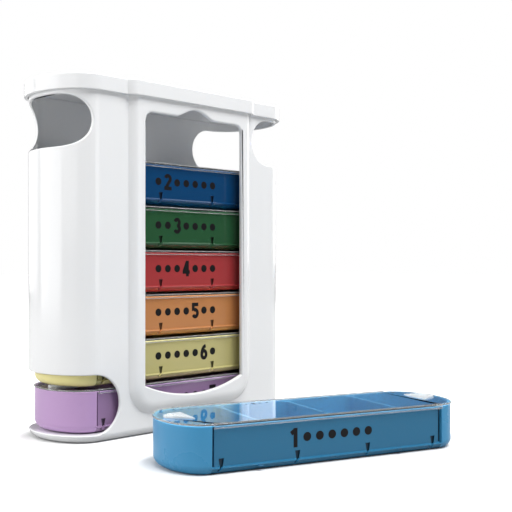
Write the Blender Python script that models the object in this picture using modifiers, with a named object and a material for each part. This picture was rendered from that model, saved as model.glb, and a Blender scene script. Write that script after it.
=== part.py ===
"""Weekly pill box: a tower housing with a top cap, and seven trays with clear sliding lids.

Six trays are stacked in the housing's shaft, and the first tray stands in front of it on the
table. The origin is the centre of the housing's foot, on the surface that it stands on. X runs
along the housing and the trays, -Y is the window side and Z is up. All lengths are in metres.
"""

import math

import bmesh
import bpy
from mathutils import Vector

PART_COLLECTION = "weekly_pill_box"
CUTTER_COLLECTION = "cutters"

# Fits between the pieces
REST_GAP = 0.0003
RAIL_CLEARANCE = 0.0002
SHAFT_SIDE_CLEARANCE = 0.0003
SHAFT_END_CLEARANCE = 0.0008
CAP_CLEARANCE = 0.0003
CUT_OVERRUN = 0.002
MERGE_DISTANCE = 0.00001

# One tray
TRAY_STRAIGHT_LENGTH = 0.104
TRAY_WIDTH = 0.041
TRAY_END_BULGE = 0.0133
TRAY_HEIGHT = 0.018
TRAY_WALL = 0.0012
TRAY_FLOOR = 0.0012
TRAY_FOOT_RADIUS = 0.0036
PANEL_DEPTH = 0.001
PANEL_LEDGE_HEIGHT = 0.0026
LIP_REACH = 0.0004
LIP_HEIGHT = 0.0004
LIP_END_SETBACK = 0.0003

# The four compartments of a tray
COMPARTMENTS = 4
COMPARTMENT_PITCH = 0.032
DIVIDER_THICKNESS = 0.0012
DIVIDER_SETBACK = 0.0004
POCKET_CORNER_RADIUS = 0.0025
POCKET_FLOOR_RADIUS = 0.003

# The marks at the foot of the front panel: a notch that narrows downwards and ends in a tail
MARK_SHARES = (-1.5, -0.5, 0.5, 1.5)
MARK_TOP = 0.0058
MARK_WAIST = 0.0027
MARK_BOTTOM = 0.001
MARK_HALF_WIDTH = 0.001
MARK_WAIST_HALF_WIDTH = 0.00035
MARK_TAIL_SHIFT = 0.0011
MARK_DEPTH = 0.0007

# One sliding lid
LID_THICKNESS = 0.0006
LID_END_OVERHANG = 0.0004
LID_RAIL_WALL = 0.0006
LID_BEAD_HEIGHT = 0.0002
LID_BEAD_WIDTH = 0.0014
LID_RAIL_SETBACK = 0.0005
HOOK_DROP = 0.00035
GRIP_HEIGHT = 0.0009
GRIP_FOOT_HEIGHT = 0.0003
GRIP_LENGTH = 0.0095
GRIP_WIDTH = 0.015
GRIP_TIP_WIDTH = 0.0024
GRIP_LAND_LENGTH = 0.0035
GRIP_TIP_SETBACK = 0.0025
GRIP_ROOT = 0.0004

# The stack
TRAY_COUNT = 7
STACKED_TRAYS = 6
LOOSE_TRAY_X = -0.0026
LOOSE_TRAY_Y = -0.0984
LOOSE_TRAY_TURN = math.radians(-18.3)

# The housing
HOUSING_WALL = 0.0014
HOUSING_FLOOR = 0.0035
HOUSING_FOOT_RADIUS = 0.004
ENTRY_LIP = 0.0029
ENTRY_HEADROOM = 0.0026
WALL_OVER_ENTRY = 0.0069

# The front bay of the housing
BAY_HALF_WIDTH = 0.0365
BAY_DEPTH = 0.0028
BAY_WALL = 0.0022
BAY_BOTTOM = 0.0106
BAY_CORNER_RADIUS = 0.0125
BAY_EDGE_RADIUS = 0.0024

# The window in the bay
WINDOW_HALF_WIDTH = 0.0297
WINDOW_HEADROOM = 0.012
WINDOW_SIDE_BOTTOM = 0.0226
WINDOW_SILL_DROP = 0.0061
WINDOW_CORNER_RADIUS = 0.0026
NOTCH_HALF_WIDTH = 0.0103
NOTCH_RISE = 0.0039

# The bites at the housing's ends
EXIT_HEADROOM = 0.0056
EXIT_DEPTH = 0.026
ENTRY_LEFT_DEPTH = 0.0124
ENTRY_RIGHT_DEPTH = 0.0284

# The top cap
CAP_OVERHANG = 0.0016
CAP_END_OVERHANG = 0.0022
CAP_SKIRT = 0.007
CAP_EDGE_RADIUS = 0.0009

# How finely round shapes are drawn
END_STEPS = 14
CORNER_STEPS = 3
WIDE_CORNER_STEPS = 6
SILL_STEPS = 10
FOOT_SEGMENTS = 3
EDGE_SEGMENTS = 2
BAY_EDGE_SEGMENTS = 3
SMOOTH_ANGLE = math.radians(35)
FLAT_ANGLE = math.radians(1)

# Worked out from the sizes above
TRAY_HALF_STRAIGHT = TRAY_STRAIGHT_LENGTH / 2
TRAY_HALF_WIDTH = TRAY_WIDTH / 2
PANEL_HALF_WIDTH = TRAY_HALF_WIDTH - PANEL_DEPTH
LIP_HALF_WIDTH = TRAY_HALF_WIDTH + LIP_REACH
LID_BOTTOM = TRAY_HEIGHT + REST_GAP
LID_TOP = LID_BOTTOM + LID_THICKNESS
LID_SKIRT_INSIDE = LIP_HALF_WIDTH + RAIL_CLEARANCE
LID_HALF_WIDTH = LID_SKIRT_INSIDE + LID_RAIL_WALL
HOOK_INSIDE = TRAY_HALF_WIDTH + RAIL_CLEARANCE
TRAY_PITCH = LID_TOP + GRIP_HEIGHT + REST_GAP
SHAFT_HALF_WIDTH = LID_HALF_WIDTH + SHAFT_SIDE_CLEARANCE
SHAFT_BULGE = TRAY_END_BULGE + LID_END_OVERHANG + SHAFT_END_CLEARANCE
HOUSING_HALF_WIDTH = SHAFT_HALF_WIDTH + HOUSING_WALL
HOUSING_BULGE = SHAFT_BULGE + HOUSING_WALL
HOUSING_HALF_LENGTH = TRAY_HALF_STRAIGHT + HOUSING_BULGE
BAY_FACE = HOUSING_HALF_WIDTH + BAY_DEPTH
STACK_BOTTOM = HOUSING_FLOOR + REST_GAP
ENTRY_BOTTOM = STACK_BOTTOM + STACKED_TRAYS * TRAY_PITCH + ENTRY_LIP
ENTRY_TOP = ENTRY_BOTTOM + TRAY_PITCH + ENTRY_HEADROOM
HOUSING_HEIGHT = ENTRY_TOP + WALL_OVER_ENTRY
WINDOW_TOP = HOUSING_HEIGHT - WINDOW_HEADROOM
CAP_WALL = CAP_OVERHANG - CAP_CLEARANCE
CAP_TOP = HOUSING_HEIGHT + REST_GAP + CAP_WALL
CAP_BOTTOM = CAP_TOP - CAP_SKIRT

# Finishes: colour, roughness, and how much light passes through
WHITE_FINISH = ((0.86, 0.87, 0.88), 0.22, 0.0)
CLEAR_FINISH = ((0.93, 0.95, 0.95), 0.05, 0.9)
TRAY_FINISHES = (
    ((0.035, 0.19, 0.36), 0.3, 0.0),
    ((0.008, 0.07, 0.21), 0.3, 0.0),
    ((0.035, 0.13, 0.055), 0.3, 0.0),
    ((0.42, 0.04, 0.05), 0.3, 0.0),
    ((0.62, 0.23, 0.085), 0.3, 0.0),
    ((0.60, 0.53, 0.25), 0.3, 0.0),
    ((0.38, 0.21, 0.46), 0.3, 0.0),
)


def clear_scene():
    """Removes what the startup scene holds."""
    for obj in list(bpy.data.objects):
        bpy.data.objects.remove(obj, do_unlink=True)


def new_collection(name):
    collection = bpy.data.collections.new(name)
    bpy.context.scene.collection.children.link(collection)
    return collection


def finish_material(name, finish):
    """A plastic with the given colour, roughness and see-through share."""
    colour, roughness, clearness = finish
    material = bpy.data.materials.new(name)
    material.use_nodes = True
    shader = material.node_tree.nodes["Principled BSDF"]
    shader.inputs["Base Color"].default_value = (*colour, 1)
    shader.inputs["Roughness"].default_value = roughness
    shader.inputs["Transmission Weight"].default_value = clearness
    shader.inputs["Metallic"].default_value = 0
    material.diffuse_color = (*colour, 1)
    return material


def arc(centre, radius, start, end, steps):
    """Points on an arc, from one angle to another, ends included."""
    points = []
    for i in range(steps + 1):
        angle = start + (end - start) * i / steps
        points.append((centre[0] + radius * math.cos(angle), centre[1] + radius * math.sin(angle)))
    return points


def end_curve(half_straight, bulge, half_width, side):
    """The half ellipse at one end of a tray or housing plan, counterclockwise. Side is 1 or -1."""
    points = []
    for i in range(END_STEPS + 1):
        angle = math.pi * (i / END_STEPS - 1 / 2)
        x = half_straight + bulge * math.cos(angle)
        y = half_width * math.sin(angle)
        points.append((side * x, side * y))
    return points


def plan(half_straight, bulge, half_width):
    """Plan outline of a tray, lid, shaft or housing: two straight sides and two round ends."""
    right = end_curve(half_straight, bulge, half_width, 1)
    left = end_curve(half_straight, bulge, half_width, -1)
    return right + left


def plan_with_bay(half_straight, bulge, half_width, bay_half_width, bay_face, radius):
    """The plan with the front bay standing out of its -Y side, with rounded bay corners."""
    right = end_curve(half_straight, bulge, half_width, 1)
    left = end_curve(half_straight, bulge, half_width, -1)
    inner_x = bay_half_width - radius
    inner_y = -(bay_face - radius)
    left_corner = arc((-inner_x, inner_y), radius, math.pi, math.pi * 3 / 2, CORNER_STEPS)
    right_corner = arc((inner_x, inner_y), radius, -math.pi / 2, 0, CORNER_STEPS)
    left_foot = [(-bay_half_width, -half_width)]
    right_foot = [(bay_half_width, -half_width)]
    return right + left + left_foot + left_corner + right_corner + right_foot


def rounded_rectangle(x0, x1, y0, y1, radius, steps):
    points = arc((x1 - radius, y0 + radius), radius, -math.pi / 2, 0, steps)
    points += arc((x1 - radius, y1 - radius), radius, 0, math.pi / 2, steps)
    points += arc((x0 + radius, y1 - radius), radius, math.pi / 2, math.pi, steps)
    points += arc((x0 + radius, y0 + radius), radius, math.pi, math.pi * 3 / 2, steps)
    return points


def sag_radius(half_chord, rise):
    """Radius of the arc that rises so much over a half chord."""
    return (half_chord**2 + rise**2) / (2 * rise)


def to_mesh_object(source, name, collection):
    """A new mesh object with the shape that the source has after its modifiers, in place."""
    bpy.context.view_layer.update()
    graph = bpy.context.evaluated_depsgraph_get()
    mesh = bpy.data.meshes.new_from_object(source.evaluated_get(graph), depsgraph=graph)
    mesh.transform(source.matrix_world)
    mesh.name = name
    bpy.data.objects.remove(source, do_unlink=True)
    shape = bmesh.new()
    shape.from_mesh(mesh)
    bmesh.ops.remove_doubles(shape, verts=shape.verts, dist=MERGE_DISTANCE)
    bmesh.ops.dissolve_limit(
        shape, angle_limit=FLAT_ANGLE, verts=shape.verts, edges=shape.edges, use_dissolve_boundaries=False
    )
    bmesh.ops.recalc_face_normals(shape, faces=shape.faces)
    shape.to_mesh(mesh)
    shape.free()
    obj = bpy.data.objects.new(name, mesh)
    collection.objects.link(obj)
    return obj


def flat_solid(name, outline, low, high, collection, facing="Z"):
    """A flat outline given thickness between two levels.

    Facing Z stands the outline in plan. Facing Y reads it as a front view, x and z, and low and
    high are then its nearest and farthest y. Facing X reads it as a side view, y and z.
    """
    curve = bpy.data.curves.new(name, "CURVE")
    curve.dimensions = "2D"
    curve.fill_mode = "BOTH"
    curve.extrude = (high - low) / 2
    spline = curve.splines.new("POLY")
    spline.points.add(len(outline) - 1)
    for point, (x, y) in zip(spline.points, outline):
        point.co = (x, y, 0, 1)
    spline.use_cyclic_u = True
    guide = bpy.data.objects.new(name + "_outline", curve)
    collection.objects.link(guide)
    middle = (low + high) / 2
    if facing == "Z":
        guide.location = (0, 0, middle)
    elif facing == "Y":
        guide.location = (0, middle, 0)
        guide.rotation_euler = (math.pi / 2, 0, 0)
    else:
        guide.location = (middle, 0, 0)
        guide.rotation_euler = (math.pi / 2, 0, math.pi / 2)
    return to_mesh_object(guide, name, collection)


def round_edges(obj, width, segments, chosen):
    """Rounds the edges for which chosen(first point, second point) is true."""
    mesh = obj.data
    weights = mesh.attributes.new("bevel_weight_edge", "FLOAT", "EDGE")
    for edge in mesh.edges:
        first, second = (mesh.vertices[i].co for i in edge.vertices)
        weights.data[edge.index].value = float(chosen(first, second))
    bevel = obj.modifiers.new("round", "BEVEL")
    bevel.limit_method = "WEIGHT"
    bevel.width = width
    bevel.segments = segments
    bevel.use_clamp_overlap = False
    return bevel


def both_at(axis, level):
    """True for an edge whose two ends lie at a level of X, Y or Z (0, 1 or 2)."""

    def chosen(first, second):
        return abs(first[axis] - level) < MERGE_DISTANCE and abs(second[axis] - level) < MERGE_DISTANCE

    return chosen


def combine(obj, other, operation):
    """Adds a Boolean modifier: UNION joins the other shape, DIFFERENCE cuts it out."""
    modifier = obj.modifiers.new(other.name, "BOOLEAN")
    modifier.operation = operation
    modifier.solver = "EXACT"
    modifier.object = other
    other.hide_render = True
    other.display_type = "WIRE"


def shade(mesh):
    mesh.shade_smooth()
    mesh.set_sharp_from_angle(angle=SMOOTH_ANGLE)


def add_piece(name, mesh, material, collection, location=(0, 0, 0), parent=None):
    """A named piece with its own material, which may share its mesh with another."""
    obj = bpy.data.objects.new(name, mesh)
    collection.objects.link(obj)
    obj.location = location
    obj.parent = parent
    if not mesh.materials:
        mesh.materials.append(None)
    obj.material_slots[0].link = "OBJECT"
    obj.material_slots[0].material = material
    return obj


def tray_outer(cutters):
    """The tray's outside, with its rounded foot."""
    outline = plan(TRAY_HALF_STRAIGHT, TRAY_END_BULGE, TRAY_HALF_WIDTH)
    body = flat_solid("tray_outside", outline, 0, TRAY_HEIGHT, cutters)
    round_edges(body, TRAY_FOOT_RADIUS, FOOT_SEGMENTS, both_at(2, 0))
    return to_mesh_object(body, "tray_body", cutters)


def panel_cutter(side, cutters):
    """The shallow recess in a long side, between the foot ledge and the lip."""
    inside = side * PANEL_HALF_WIDTH
    outside = side * (TRAY_HALF_WIDTH + CUT_OVERRUN)
    top = TRAY_HEIGHT - LIP_HEIGHT
    outline = [
        (-TRAY_HALF_STRAIGHT, PANEL_LEDGE_HEIGHT),
        (TRAY_HALF_STRAIGHT, PANEL_LEDGE_HEIGHT),
        (TRAY_HALF_STRAIGHT, top),
        (-TRAY_HALF_STRAIGHT, top),
    ]
    name = "panel_front" if side < 0 else "panel_rear"
    return flat_solid(name, outline, min(inside, outside), max(inside, outside), cutters, "Y")


def mark_cutter(share, cutters):
    """One notch in the front panel, with its tail across the foot ledge."""
    x = share * COMPARTMENT_PITCH
    waist = MARK_WAIST_HALF_WIDTH
    tail = x - MARK_TAIL_SHIFT
    outline = [
        (tail - waist, MARK_BOTTOM),
        (tail + waist, MARK_BOTTOM),
        (x + waist, MARK_WAIST),
        (x + MARK_HALF_WIDTH, MARK_TOP),
        (x - MARK_HALF_WIDTH, MARK_TOP),
        (x - waist, MARK_WAIST),
    ]
    outside = -(TRAY_HALF_WIDTH + CUT_OVERRUN)
    return flat_solid(f"mark_{share:+.1f}", outline, outside, MARK_DEPTH - PANEL_HALF_WIDTH, cutters, "Y")


def lip_bar(cutters):
    """The lip along both long sides, as one bar that reaches from side to side."""
    reach = TRAY_HALF_STRAIGHT - LIP_END_SETBACK
    outline = [
        (-reach, -LIP_HALF_WIDTH),
        (reach, -LIP_HALF_WIDTH),
        (reach, LIP_HALF_WIDTH),
        (-reach, LIP_HALF_WIDTH),
    ]
    return flat_solid("lip_bar", outline, TRAY_HEIGHT - LIP_HEIGHT, TRAY_HEIGHT, cutters)


def pocket_cutter(index, cutters):
    """One compartment. The first and the last follow the tray's round ends."""
    half_width = PANEL_HALF_WIDTH - TRAY_WALL
    half_divider = DIVIDER_THICKNESS / 2
    x0 = (index - COMPARTMENTS / 2) * COMPARTMENT_PITCH + half_divider
    x1 = x0 + COMPARTMENT_PITCH - DIVIDER_THICKNESS
    if 0 < index < COMPARTMENTS - 1:
        outline = rounded_rectangle(x0, x1, -half_width, half_width, POCKET_CORNER_RADIUS, CORNER_STEPS)
    else:
        side = 1 if index else -1
        inner = abs(x0) if index else abs(x1)
        radius = POCKET_CORNER_RADIUS
        bulge = TRAY_END_BULGE - TRAY_WALL
        outline = end_curve(TRAY_HALF_STRAIGHT, bulge, half_width, 1)
        outline += arc((inner + radius, half_width - radius), radius, math.pi / 2, math.pi, CORNER_STEPS)
        outline += arc((inner + radius, radius - half_width), radius, math.pi, math.pi * 3 / 2, CORNER_STEPS)
        outline = [(side * x, side * y) for x, y in outline]
    pocket = flat_solid(
        f"pocket_{index + 1}_block", outline, TRAY_FLOOR, TRAY_HEIGHT + CUT_OVERRUN, cutters
    )
    round_edges(pocket, POCKET_FLOOR_RADIUS, EDGE_SEGMENTS, both_at(2, TRAY_FLOOR))
    return to_mesh_object(pocket, f"pocket_{index + 1}", cutters)


def divider_cutter(cutters):
    """Takes the dividers a little below the rim, so that the lid passes over them."""
    reach = COMPARTMENT_PITCH * (COMPARTMENTS / 2 - 1) + DIVIDER_THICKNESS
    half_width = PANEL_HALF_WIDTH - TRAY_WALL
    outline = [(-reach, -half_width), (reach, -half_width), (reach, half_width), (-reach, half_width)]
    return flat_solid(
        "divider_trim", outline, TRAY_HEIGHT - DIVIDER_SETBACK, TRAY_HEIGHT + CUT_OVERRUN, cutters
    )


def tray_mesh(cutters):
    """The mesh that all seven trays share, standing on Z 0."""
    tray = tray_outer(cutters)
    for side in (-1, 1):
        combine(tray, panel_cutter(side, cutters), "DIFFERENCE")
    combine(tray, lip_bar(cutters), "UNION")
    for share in MARK_SHARES:
        combine(tray, mark_cutter(share, cutters), "DIFFERENCE")
    for index in range(COMPARTMENTS):
        combine(tray, pocket_cutter(index, cutters), "DIFFERENCE")
    combine(tray, divider_cutter(cutters), "DIFFERENCE")
    finished = to_mesh_object(tray, "tray", cutters)
    mesh = finished.data
    bpy.data.objects.remove(finished, do_unlink=True)
    shade(mesh)
    return mesh


def rail_cutaway():
    """Section of a lid rail, y and z: a bead on top, a skirt outside the lip, a hook under it."""
    hook_top = TRAY_HEIGHT - LIP_HEIGHT - RAIL_CLEARANCE
    hook_bottom = hook_top - HOOK_DROP
    bead_top = LID_TOP + LID_BEAD_HEIGHT
    bead_inside = LID_HALF_WIDTH - LID_BEAD_WIDTH
    return [
        (HOOK_INSIDE, hook_bottom),
        (LID_HALF_WIDTH, hook_bottom),
        (LID_HALF_WIDTH, bead_top),
        (bead_inside, bead_top),
        (bead_inside, LID_BOTTOM),
        (LID_SKIRT_INSIDE, LID_BOTTOM),
        (LID_SKIRT_INSIDE, hook_top),
        (HOOK_INSIDE, hook_top),
    ]


def grip(side, cutters):
    """An arrow-shaped thumb grip near one end of the lid, highest at its outer tip."""
    tip = TRAY_HALF_STRAIGHT + TRAY_END_BULGE - GRIP_TIP_SETBACK
    foot = tip - GRIP_LENGTH
    shoulder = tip - GRIP_LAND_LENGTH
    half_foot = GRIP_WIDTH / 2
    half_tip = GRIP_TIP_WIDTH / 2
    half_shoulder = half_tip + (half_foot - half_tip) * GRIP_LAND_LENGTH / GRIP_LENGTH
    outline = [
        (foot, -half_foot),
        (shoulder, -half_shoulder),
        (tip, -half_tip),
        (tip, half_tip),
        (shoulder, half_shoulder),
        (foot, half_foot),
    ]
    outline = [(side * x, side * y) for x, y in outline]
    name = "grip_left" if side < 0 else "grip_right"
    block = flat_solid(name, outline, LID_TOP - GRIP_ROOT, LID_TOP + GRIP_HEIGHT, cutters)
    for vertex in block.data.vertices:
        if vertex.co.z > LID_TOP and abs(vertex.co.x) < foot + MERGE_DISTANCE:
            vertex.co.z = LID_TOP + GRIP_FOOT_HEIGHT
    return block


def lid_mesh(cutters):
    """The mesh that all seven lids share, in its place over a tray that stands on Z 0."""
    half_plate = TRAY_HALF_WIDTH + LID_END_OVERHANG
    outline = plan(TRAY_HALF_STRAIGHT, TRAY_END_BULGE + LID_END_OVERHANG, half_plate)
    plate = flat_solid("lid_plate", outline, LID_BOTTOM, LID_TOP, cutters)
    reach = TRAY_HALF_STRAIGHT - LID_RAIL_SETBACK
    rail = flat_solid("lid_rail", rail_cutaway(), -reach, reach, cutters, "X")
    mirror = rail.modifiers.new("other_side", "MIRROR")
    mirror.use_axis = (False, True, False)
    mirror.use_mirror_merge = False
    combine(plate, rail, "UNION")
    for side in (-1, 1):
        combine(plate, grip(side, cutters), "UNION")
    finished = to_mesh_object(plate, "lid", cutters)
    mesh = finished.data
    bpy.data.objects.remove(finished, do_unlink=True)
    shade(mesh)
    return mesh


def bay_outline(inset, top):
    """Front view of the bay: straight sides and a lower end with wide round corners."""
    half_width = BAY_HALF_WIDTH - inset
    radius = BAY_CORNER_RADIUS - inset
    bottom = BAY_BOTTOM + inset
    centre_x = half_width - radius
    centre_z = bottom + radius
    outline = arc((-centre_x, centre_z), radius, math.pi, math.pi * 3 / 2, WIDE_CORNER_STEPS)
    outline += arc((centre_x, centre_z), radius, -math.pi / 2, 0, WIDE_CORNER_STEPS)
    return outline + [(half_width, top), (-half_width, top)]


def window_outline():
    """Front view of the window: a thumb notch in its top edge and a sill that sags."""
    half = WINDOW_HALF_WIDTH
    radius = WINDOW_CORNER_RADIUS
    sill_radius = sag_radius(half, WINDOW_SILL_DROP)
    sill_angle = math.asin(half / sill_radius)
    sill_centre = WINDOW_SIDE_BOTTOM - WINDOW_SILL_DROP + sill_radius
    down = -math.pi / 2
    outline = arc((0, sill_centre), sill_radius, down - sill_angle, down + sill_angle, SILL_STEPS)
    outline += arc((half - radius, WINDOW_TOP - radius), radius, 0, math.pi / 2, CORNER_STEPS)
    notch_radius = sag_radius(NOTCH_HALF_WIDTH, NOTCH_RISE)
    notch_angle = math.asin(NOTCH_HALF_WIDTH / notch_radius)
    notch_centre = WINDOW_TOP + NOTCH_RISE - notch_radius
    up = math.pi / 2
    outline += arc((0, notch_centre), notch_radius, up - notch_angle, up + notch_angle, SILL_STEPS)
    outline += arc((radius - half, WINDOW_TOP - radius), radius, up, math.pi, CORNER_STEPS)
    return outline


def bite_outline(side, depth, low, high):
    """Front view of a bite at one end: flat top and bottom, and a round inner end."""
    radius = (high - low) / 2
    inner = HOUSING_HALF_LENGTH - depth
    outside = HOUSING_HALF_LENGTH + CUT_OVERRUN
    centre = (inner + radius, low + radius)
    outline = arc(centre, radius, math.pi / 2, math.pi * 3 / 2, END_STEPS)
    outline += [(outside, low), (outside, high)]
    if side < 0:
        outline = [(-x, z) for x, z in reversed(outline)]
    return outline


def bite(name, side, depth, low, high, cutters):
    reach = BAY_FACE + CUT_OVERRUN
    return flat_solid(name, bite_outline(side, depth, low, high), -reach, reach, cutters, "Y")


def housing_body(cutters):
    """The outside of the housing with its rounded foot, and the bay joined to its front."""
    outline = plan(TRAY_HALF_STRAIGHT, HOUSING_BULGE, HOUSING_HALF_WIDTH)
    block = flat_solid("housing_block", outline, 0, HOUSING_HEIGHT, cutters)
    round_edges(block, HOUSING_FOOT_RADIUS, FOOT_SEGMENTS, both_at(2, 0))
    body = to_mesh_object(block, "housing_body", cutters)
    bay = flat_solid("bay_block", bay_outline(0, HOUSING_HEIGHT), -BAY_FACE, 0, cutters, "Y")
    front = both_at(1, -BAY_FACE)
    top = both_at(2, HOUSING_HEIGHT)
    round_edges(bay, BAY_EDGE_RADIUS, BAY_EDGE_SEGMENTS, lambda a, b: front(a, b) and not top(a, b))
    combine(body, to_mesh_object(bay, "bay", cutters), "UNION")
    return body


def housing_mesh(cutters):
    """The housing: shaft, bay, window, and the bites where trays go in and come out."""
    housing = housing_body(cutters)
    over = HOUSING_HEIGHT + CUT_OVERRUN
    shaft = plan(TRAY_HALF_STRAIGHT, SHAFT_BULGE, SHAFT_HALF_WIDTH)
    combine(housing, flat_solid("shaft", shaft, HOUSING_FLOOR, over, cutters), "DIFFERENCE")
    inside = bay_outline(BAY_WALL, over)
    recess = flat_solid("bay_inside", inside, BAY_WALL - BAY_FACE, 0, cutters, "Y")
    combine(housing, recess, "DIFFERENCE")
    window = flat_solid("window", window_outline(), -BAY_FACE - CUT_OVERRUN, 0, cutters, "Y")
    combine(housing, window, "DIFFERENCE")
    exit_top = HOUSING_FLOOR + TRAY_PITCH + EXIT_HEADROOM
    bites = (
        ("exit_left", -1, EXIT_DEPTH, HOUSING_FLOOR, exit_top),
        ("entry_left", -1, ENTRY_LEFT_DEPTH, ENTRY_BOTTOM, ENTRY_TOP),
        ("entry_right", 1, ENTRY_RIGHT_DEPTH, ENTRY_BOTTOM, ENTRY_TOP),
    )
    for name, side, depth, low, high in bites:
        combine(housing, bite(name, side, depth, low, high, cutters), "DIFFERENCE")
    finished = to_mesh_object(housing, "housing_shell", cutters)
    mesh = finished.data
    bpy.data.objects.remove(finished, do_unlink=True)
    shade(mesh)
    return mesh


def cap_mesh(cutters):
    """The top cap: a flat lid with a skirt that stands out past the housing all round."""
    outline = plan_with_bay(
        TRAY_HALF_STRAIGHT,
        HOUSING_BULGE + CAP_END_OVERHANG,
        HOUSING_HALF_WIDTH + CAP_OVERHANG,
        BAY_HALF_WIDTH + CAP_OVERHANG,
        BAY_FACE + CAP_OVERHANG,
        BAY_EDGE_RADIUS + CAP_OVERHANG,
    )
    block = flat_solid("cap_block", outline, CAP_BOTTOM, CAP_TOP, cutters)
    round_edges(block, CAP_EDGE_RADIUS, EDGE_SEGMENTS, both_at(2, CAP_TOP))
    cap = to_mesh_object(block, "cap_body", cutters)
    low = CAP_BOTTOM - CUT_OVERRUN
    high = CAP_TOP - CAP_WALL
    gap = CAP_CLEARANCE
    tower = plan(TRAY_HALF_STRAIGHT, HOUSING_BULGE + gap, HOUSING_HALF_WIDTH + gap)
    combine(cap, flat_solid("cap_inside", tower, low, high, cutters), "DIFFERENCE")
    side = BAY_HALF_WIDTH + gap
    front = BAY_FACE + gap
    bay = rounded_rectangle(-side, side, -front, 0, BAY_EDGE_RADIUS + gap, CORNER_STEPS)
    combine(cap, flat_solid("cap_bay_inside", bay, low, high, cutters), "DIFFERENCE")
    finished = to_mesh_object(cap, "cap_shell", cutters)
    mesh = finished.data
    bpy.data.objects.remove(finished, do_unlink=True)
    shade(mesh)
    return mesh


def build_housing(parts, cutters):
    white = finish_material("white_housing", WHITE_FINISH)
    add_piece("housing", housing_mesh(cutters), white, parts)
    cap_white = finish_material("white_cap", WHITE_FINISH)
    add_piece("top_cap", cap_mesh(cutters), cap_white, parts)


def build_trays(parts, cutters):
    """Seven trays with their lids: six stacked in the shaft, and the first one beside it."""
    tray = tray_mesh(cutters)
    lid = lid_mesh(cutters)
    place = bpy.data.objects.new("loose_tray_place", None)
    parts.objects.link(place)
    place.location = (LOOSE_TRAY_X, LOOSE_TRAY_Y, 0)
    place.rotation_euler = (0, 0, LOOSE_TRAY_TURN)
    for number in range(1, TRAY_COUNT + 1):
        loose = number == 1
        level = TRAY_COUNT - number
        bottom = 0 if loose else STACK_BOTTOM + level * TRAY_PITCH
        spot = Vector((0, 0, bottom))
        parent = place if loose else None
        colour = finish_material(f"tray_{number}_plastic", TRAY_FINISHES[number - 1])
        clear = finish_material(f"lid_{number}_plastic", CLEAR_FINISH)
        add_piece(f"tray_{number}", tray, colour, parts, spot, parent)
        add_piece(f"lid_{number}", lid, clear, parts, spot, parent)


def main():
    clear_scene()
    parts = new_collection(PART_COLLECTION)
    cutters = new_collection(CUTTER_COLLECTION)
    cutters.hide_render = True
    build_housing(parts, cutters)
    build_trays(parts, cutters)
    bpy.context.view_layer.update()


main()
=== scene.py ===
# %% [markdown]
# # A weekly pill box
#
# The object is a white tower with seven flat trays. Six trays lie in the tower's shaft and the
# seventh stands in front of it. Each tray has four compartments under a clear lid that slides.
# The model gives the place and size of every piece. This lesson gives each piece the
# shape and the finish that the eye sees: rounded rims, moulded plastic, clear lids and labels.

import math

import bmesh
import bpy
from mathutils import Matrix, Vector


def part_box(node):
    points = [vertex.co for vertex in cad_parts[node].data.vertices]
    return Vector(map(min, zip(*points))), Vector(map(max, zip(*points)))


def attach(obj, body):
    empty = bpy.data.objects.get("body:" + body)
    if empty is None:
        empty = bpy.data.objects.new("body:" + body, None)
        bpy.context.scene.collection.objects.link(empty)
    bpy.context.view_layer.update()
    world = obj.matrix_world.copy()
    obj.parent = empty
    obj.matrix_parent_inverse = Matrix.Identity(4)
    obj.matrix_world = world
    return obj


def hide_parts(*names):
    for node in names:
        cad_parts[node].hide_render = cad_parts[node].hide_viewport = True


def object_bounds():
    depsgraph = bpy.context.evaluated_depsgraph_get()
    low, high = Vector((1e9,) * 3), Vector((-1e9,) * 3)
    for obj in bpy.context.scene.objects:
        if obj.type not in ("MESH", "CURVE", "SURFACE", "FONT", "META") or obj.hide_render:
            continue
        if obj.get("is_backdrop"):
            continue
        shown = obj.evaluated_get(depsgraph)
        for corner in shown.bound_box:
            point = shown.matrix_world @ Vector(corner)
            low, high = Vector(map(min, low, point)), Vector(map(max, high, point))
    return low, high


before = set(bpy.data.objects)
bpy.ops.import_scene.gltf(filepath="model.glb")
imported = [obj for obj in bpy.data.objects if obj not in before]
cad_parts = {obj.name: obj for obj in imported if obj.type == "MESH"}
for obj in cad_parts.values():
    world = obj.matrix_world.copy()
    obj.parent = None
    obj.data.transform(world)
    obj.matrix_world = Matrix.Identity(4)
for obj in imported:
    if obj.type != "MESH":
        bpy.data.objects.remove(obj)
cad_box = [list(corner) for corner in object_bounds()]
scene = bpy.context.scene
print("pieces in the model:", sorted(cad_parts))

# %% [markdown]
# ## The camera
#
# The tower stands corner-on, at about 45 degrees, and the camera looks at it level, from a
# little under half its height. A level camera keeps all upright edges parallel, as a product
# photographer does with a shift lens. The small vertical shift brings the tower's top into
# the frame without tilting the camera.

# %% Place the camera
CAMERA_PLACE = Vector((-0.2742, -0.3390, 0.0763))
CAMERA_LOOKS_ALONG = Vector((0.708, 0.706, 0))
LENS = 62.25
SENSOR = 36
VERTICAL_SHIFT = 0.0183
NEAREST_SHOWN = 0.01


def in_scene(name, data):
    """A new object of the scene that shows a mesh, a camera or a lamp."""
    data.name = name
    result = bpy.data.objects.new(name, data)
    scene.collection.objects.link(result)
    return result


def aim(thing, place, direction):
    """Puts a camera or a lamp in its place and points it along a direction."""
    thing.location = place
    thing.rotation_euler = direction.to_track_quat("-Z", "Y").to_euler()


def place_camera():
    """A level camera that sees the object at the angle of the photograph."""
    data = bpy.data.cameras.new("studio_camera")
    data.lens = LENS
    data.sensor_width = SENSOR
    data.shift_y = VERTICAL_SHIFT
    data.clip_start = NEAREST_SHOWN
    scene.camera = in_scene("studio_camera", data)
    aim(scene.camera, CAMERA_PLACE, CAMERA_LOOKS_ALONG)


place_camera()
scene.view_settings.view_transform = "Standard"
print("camera height in mm:", round(scene.camera.location.z * 1000, 1))

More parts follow.
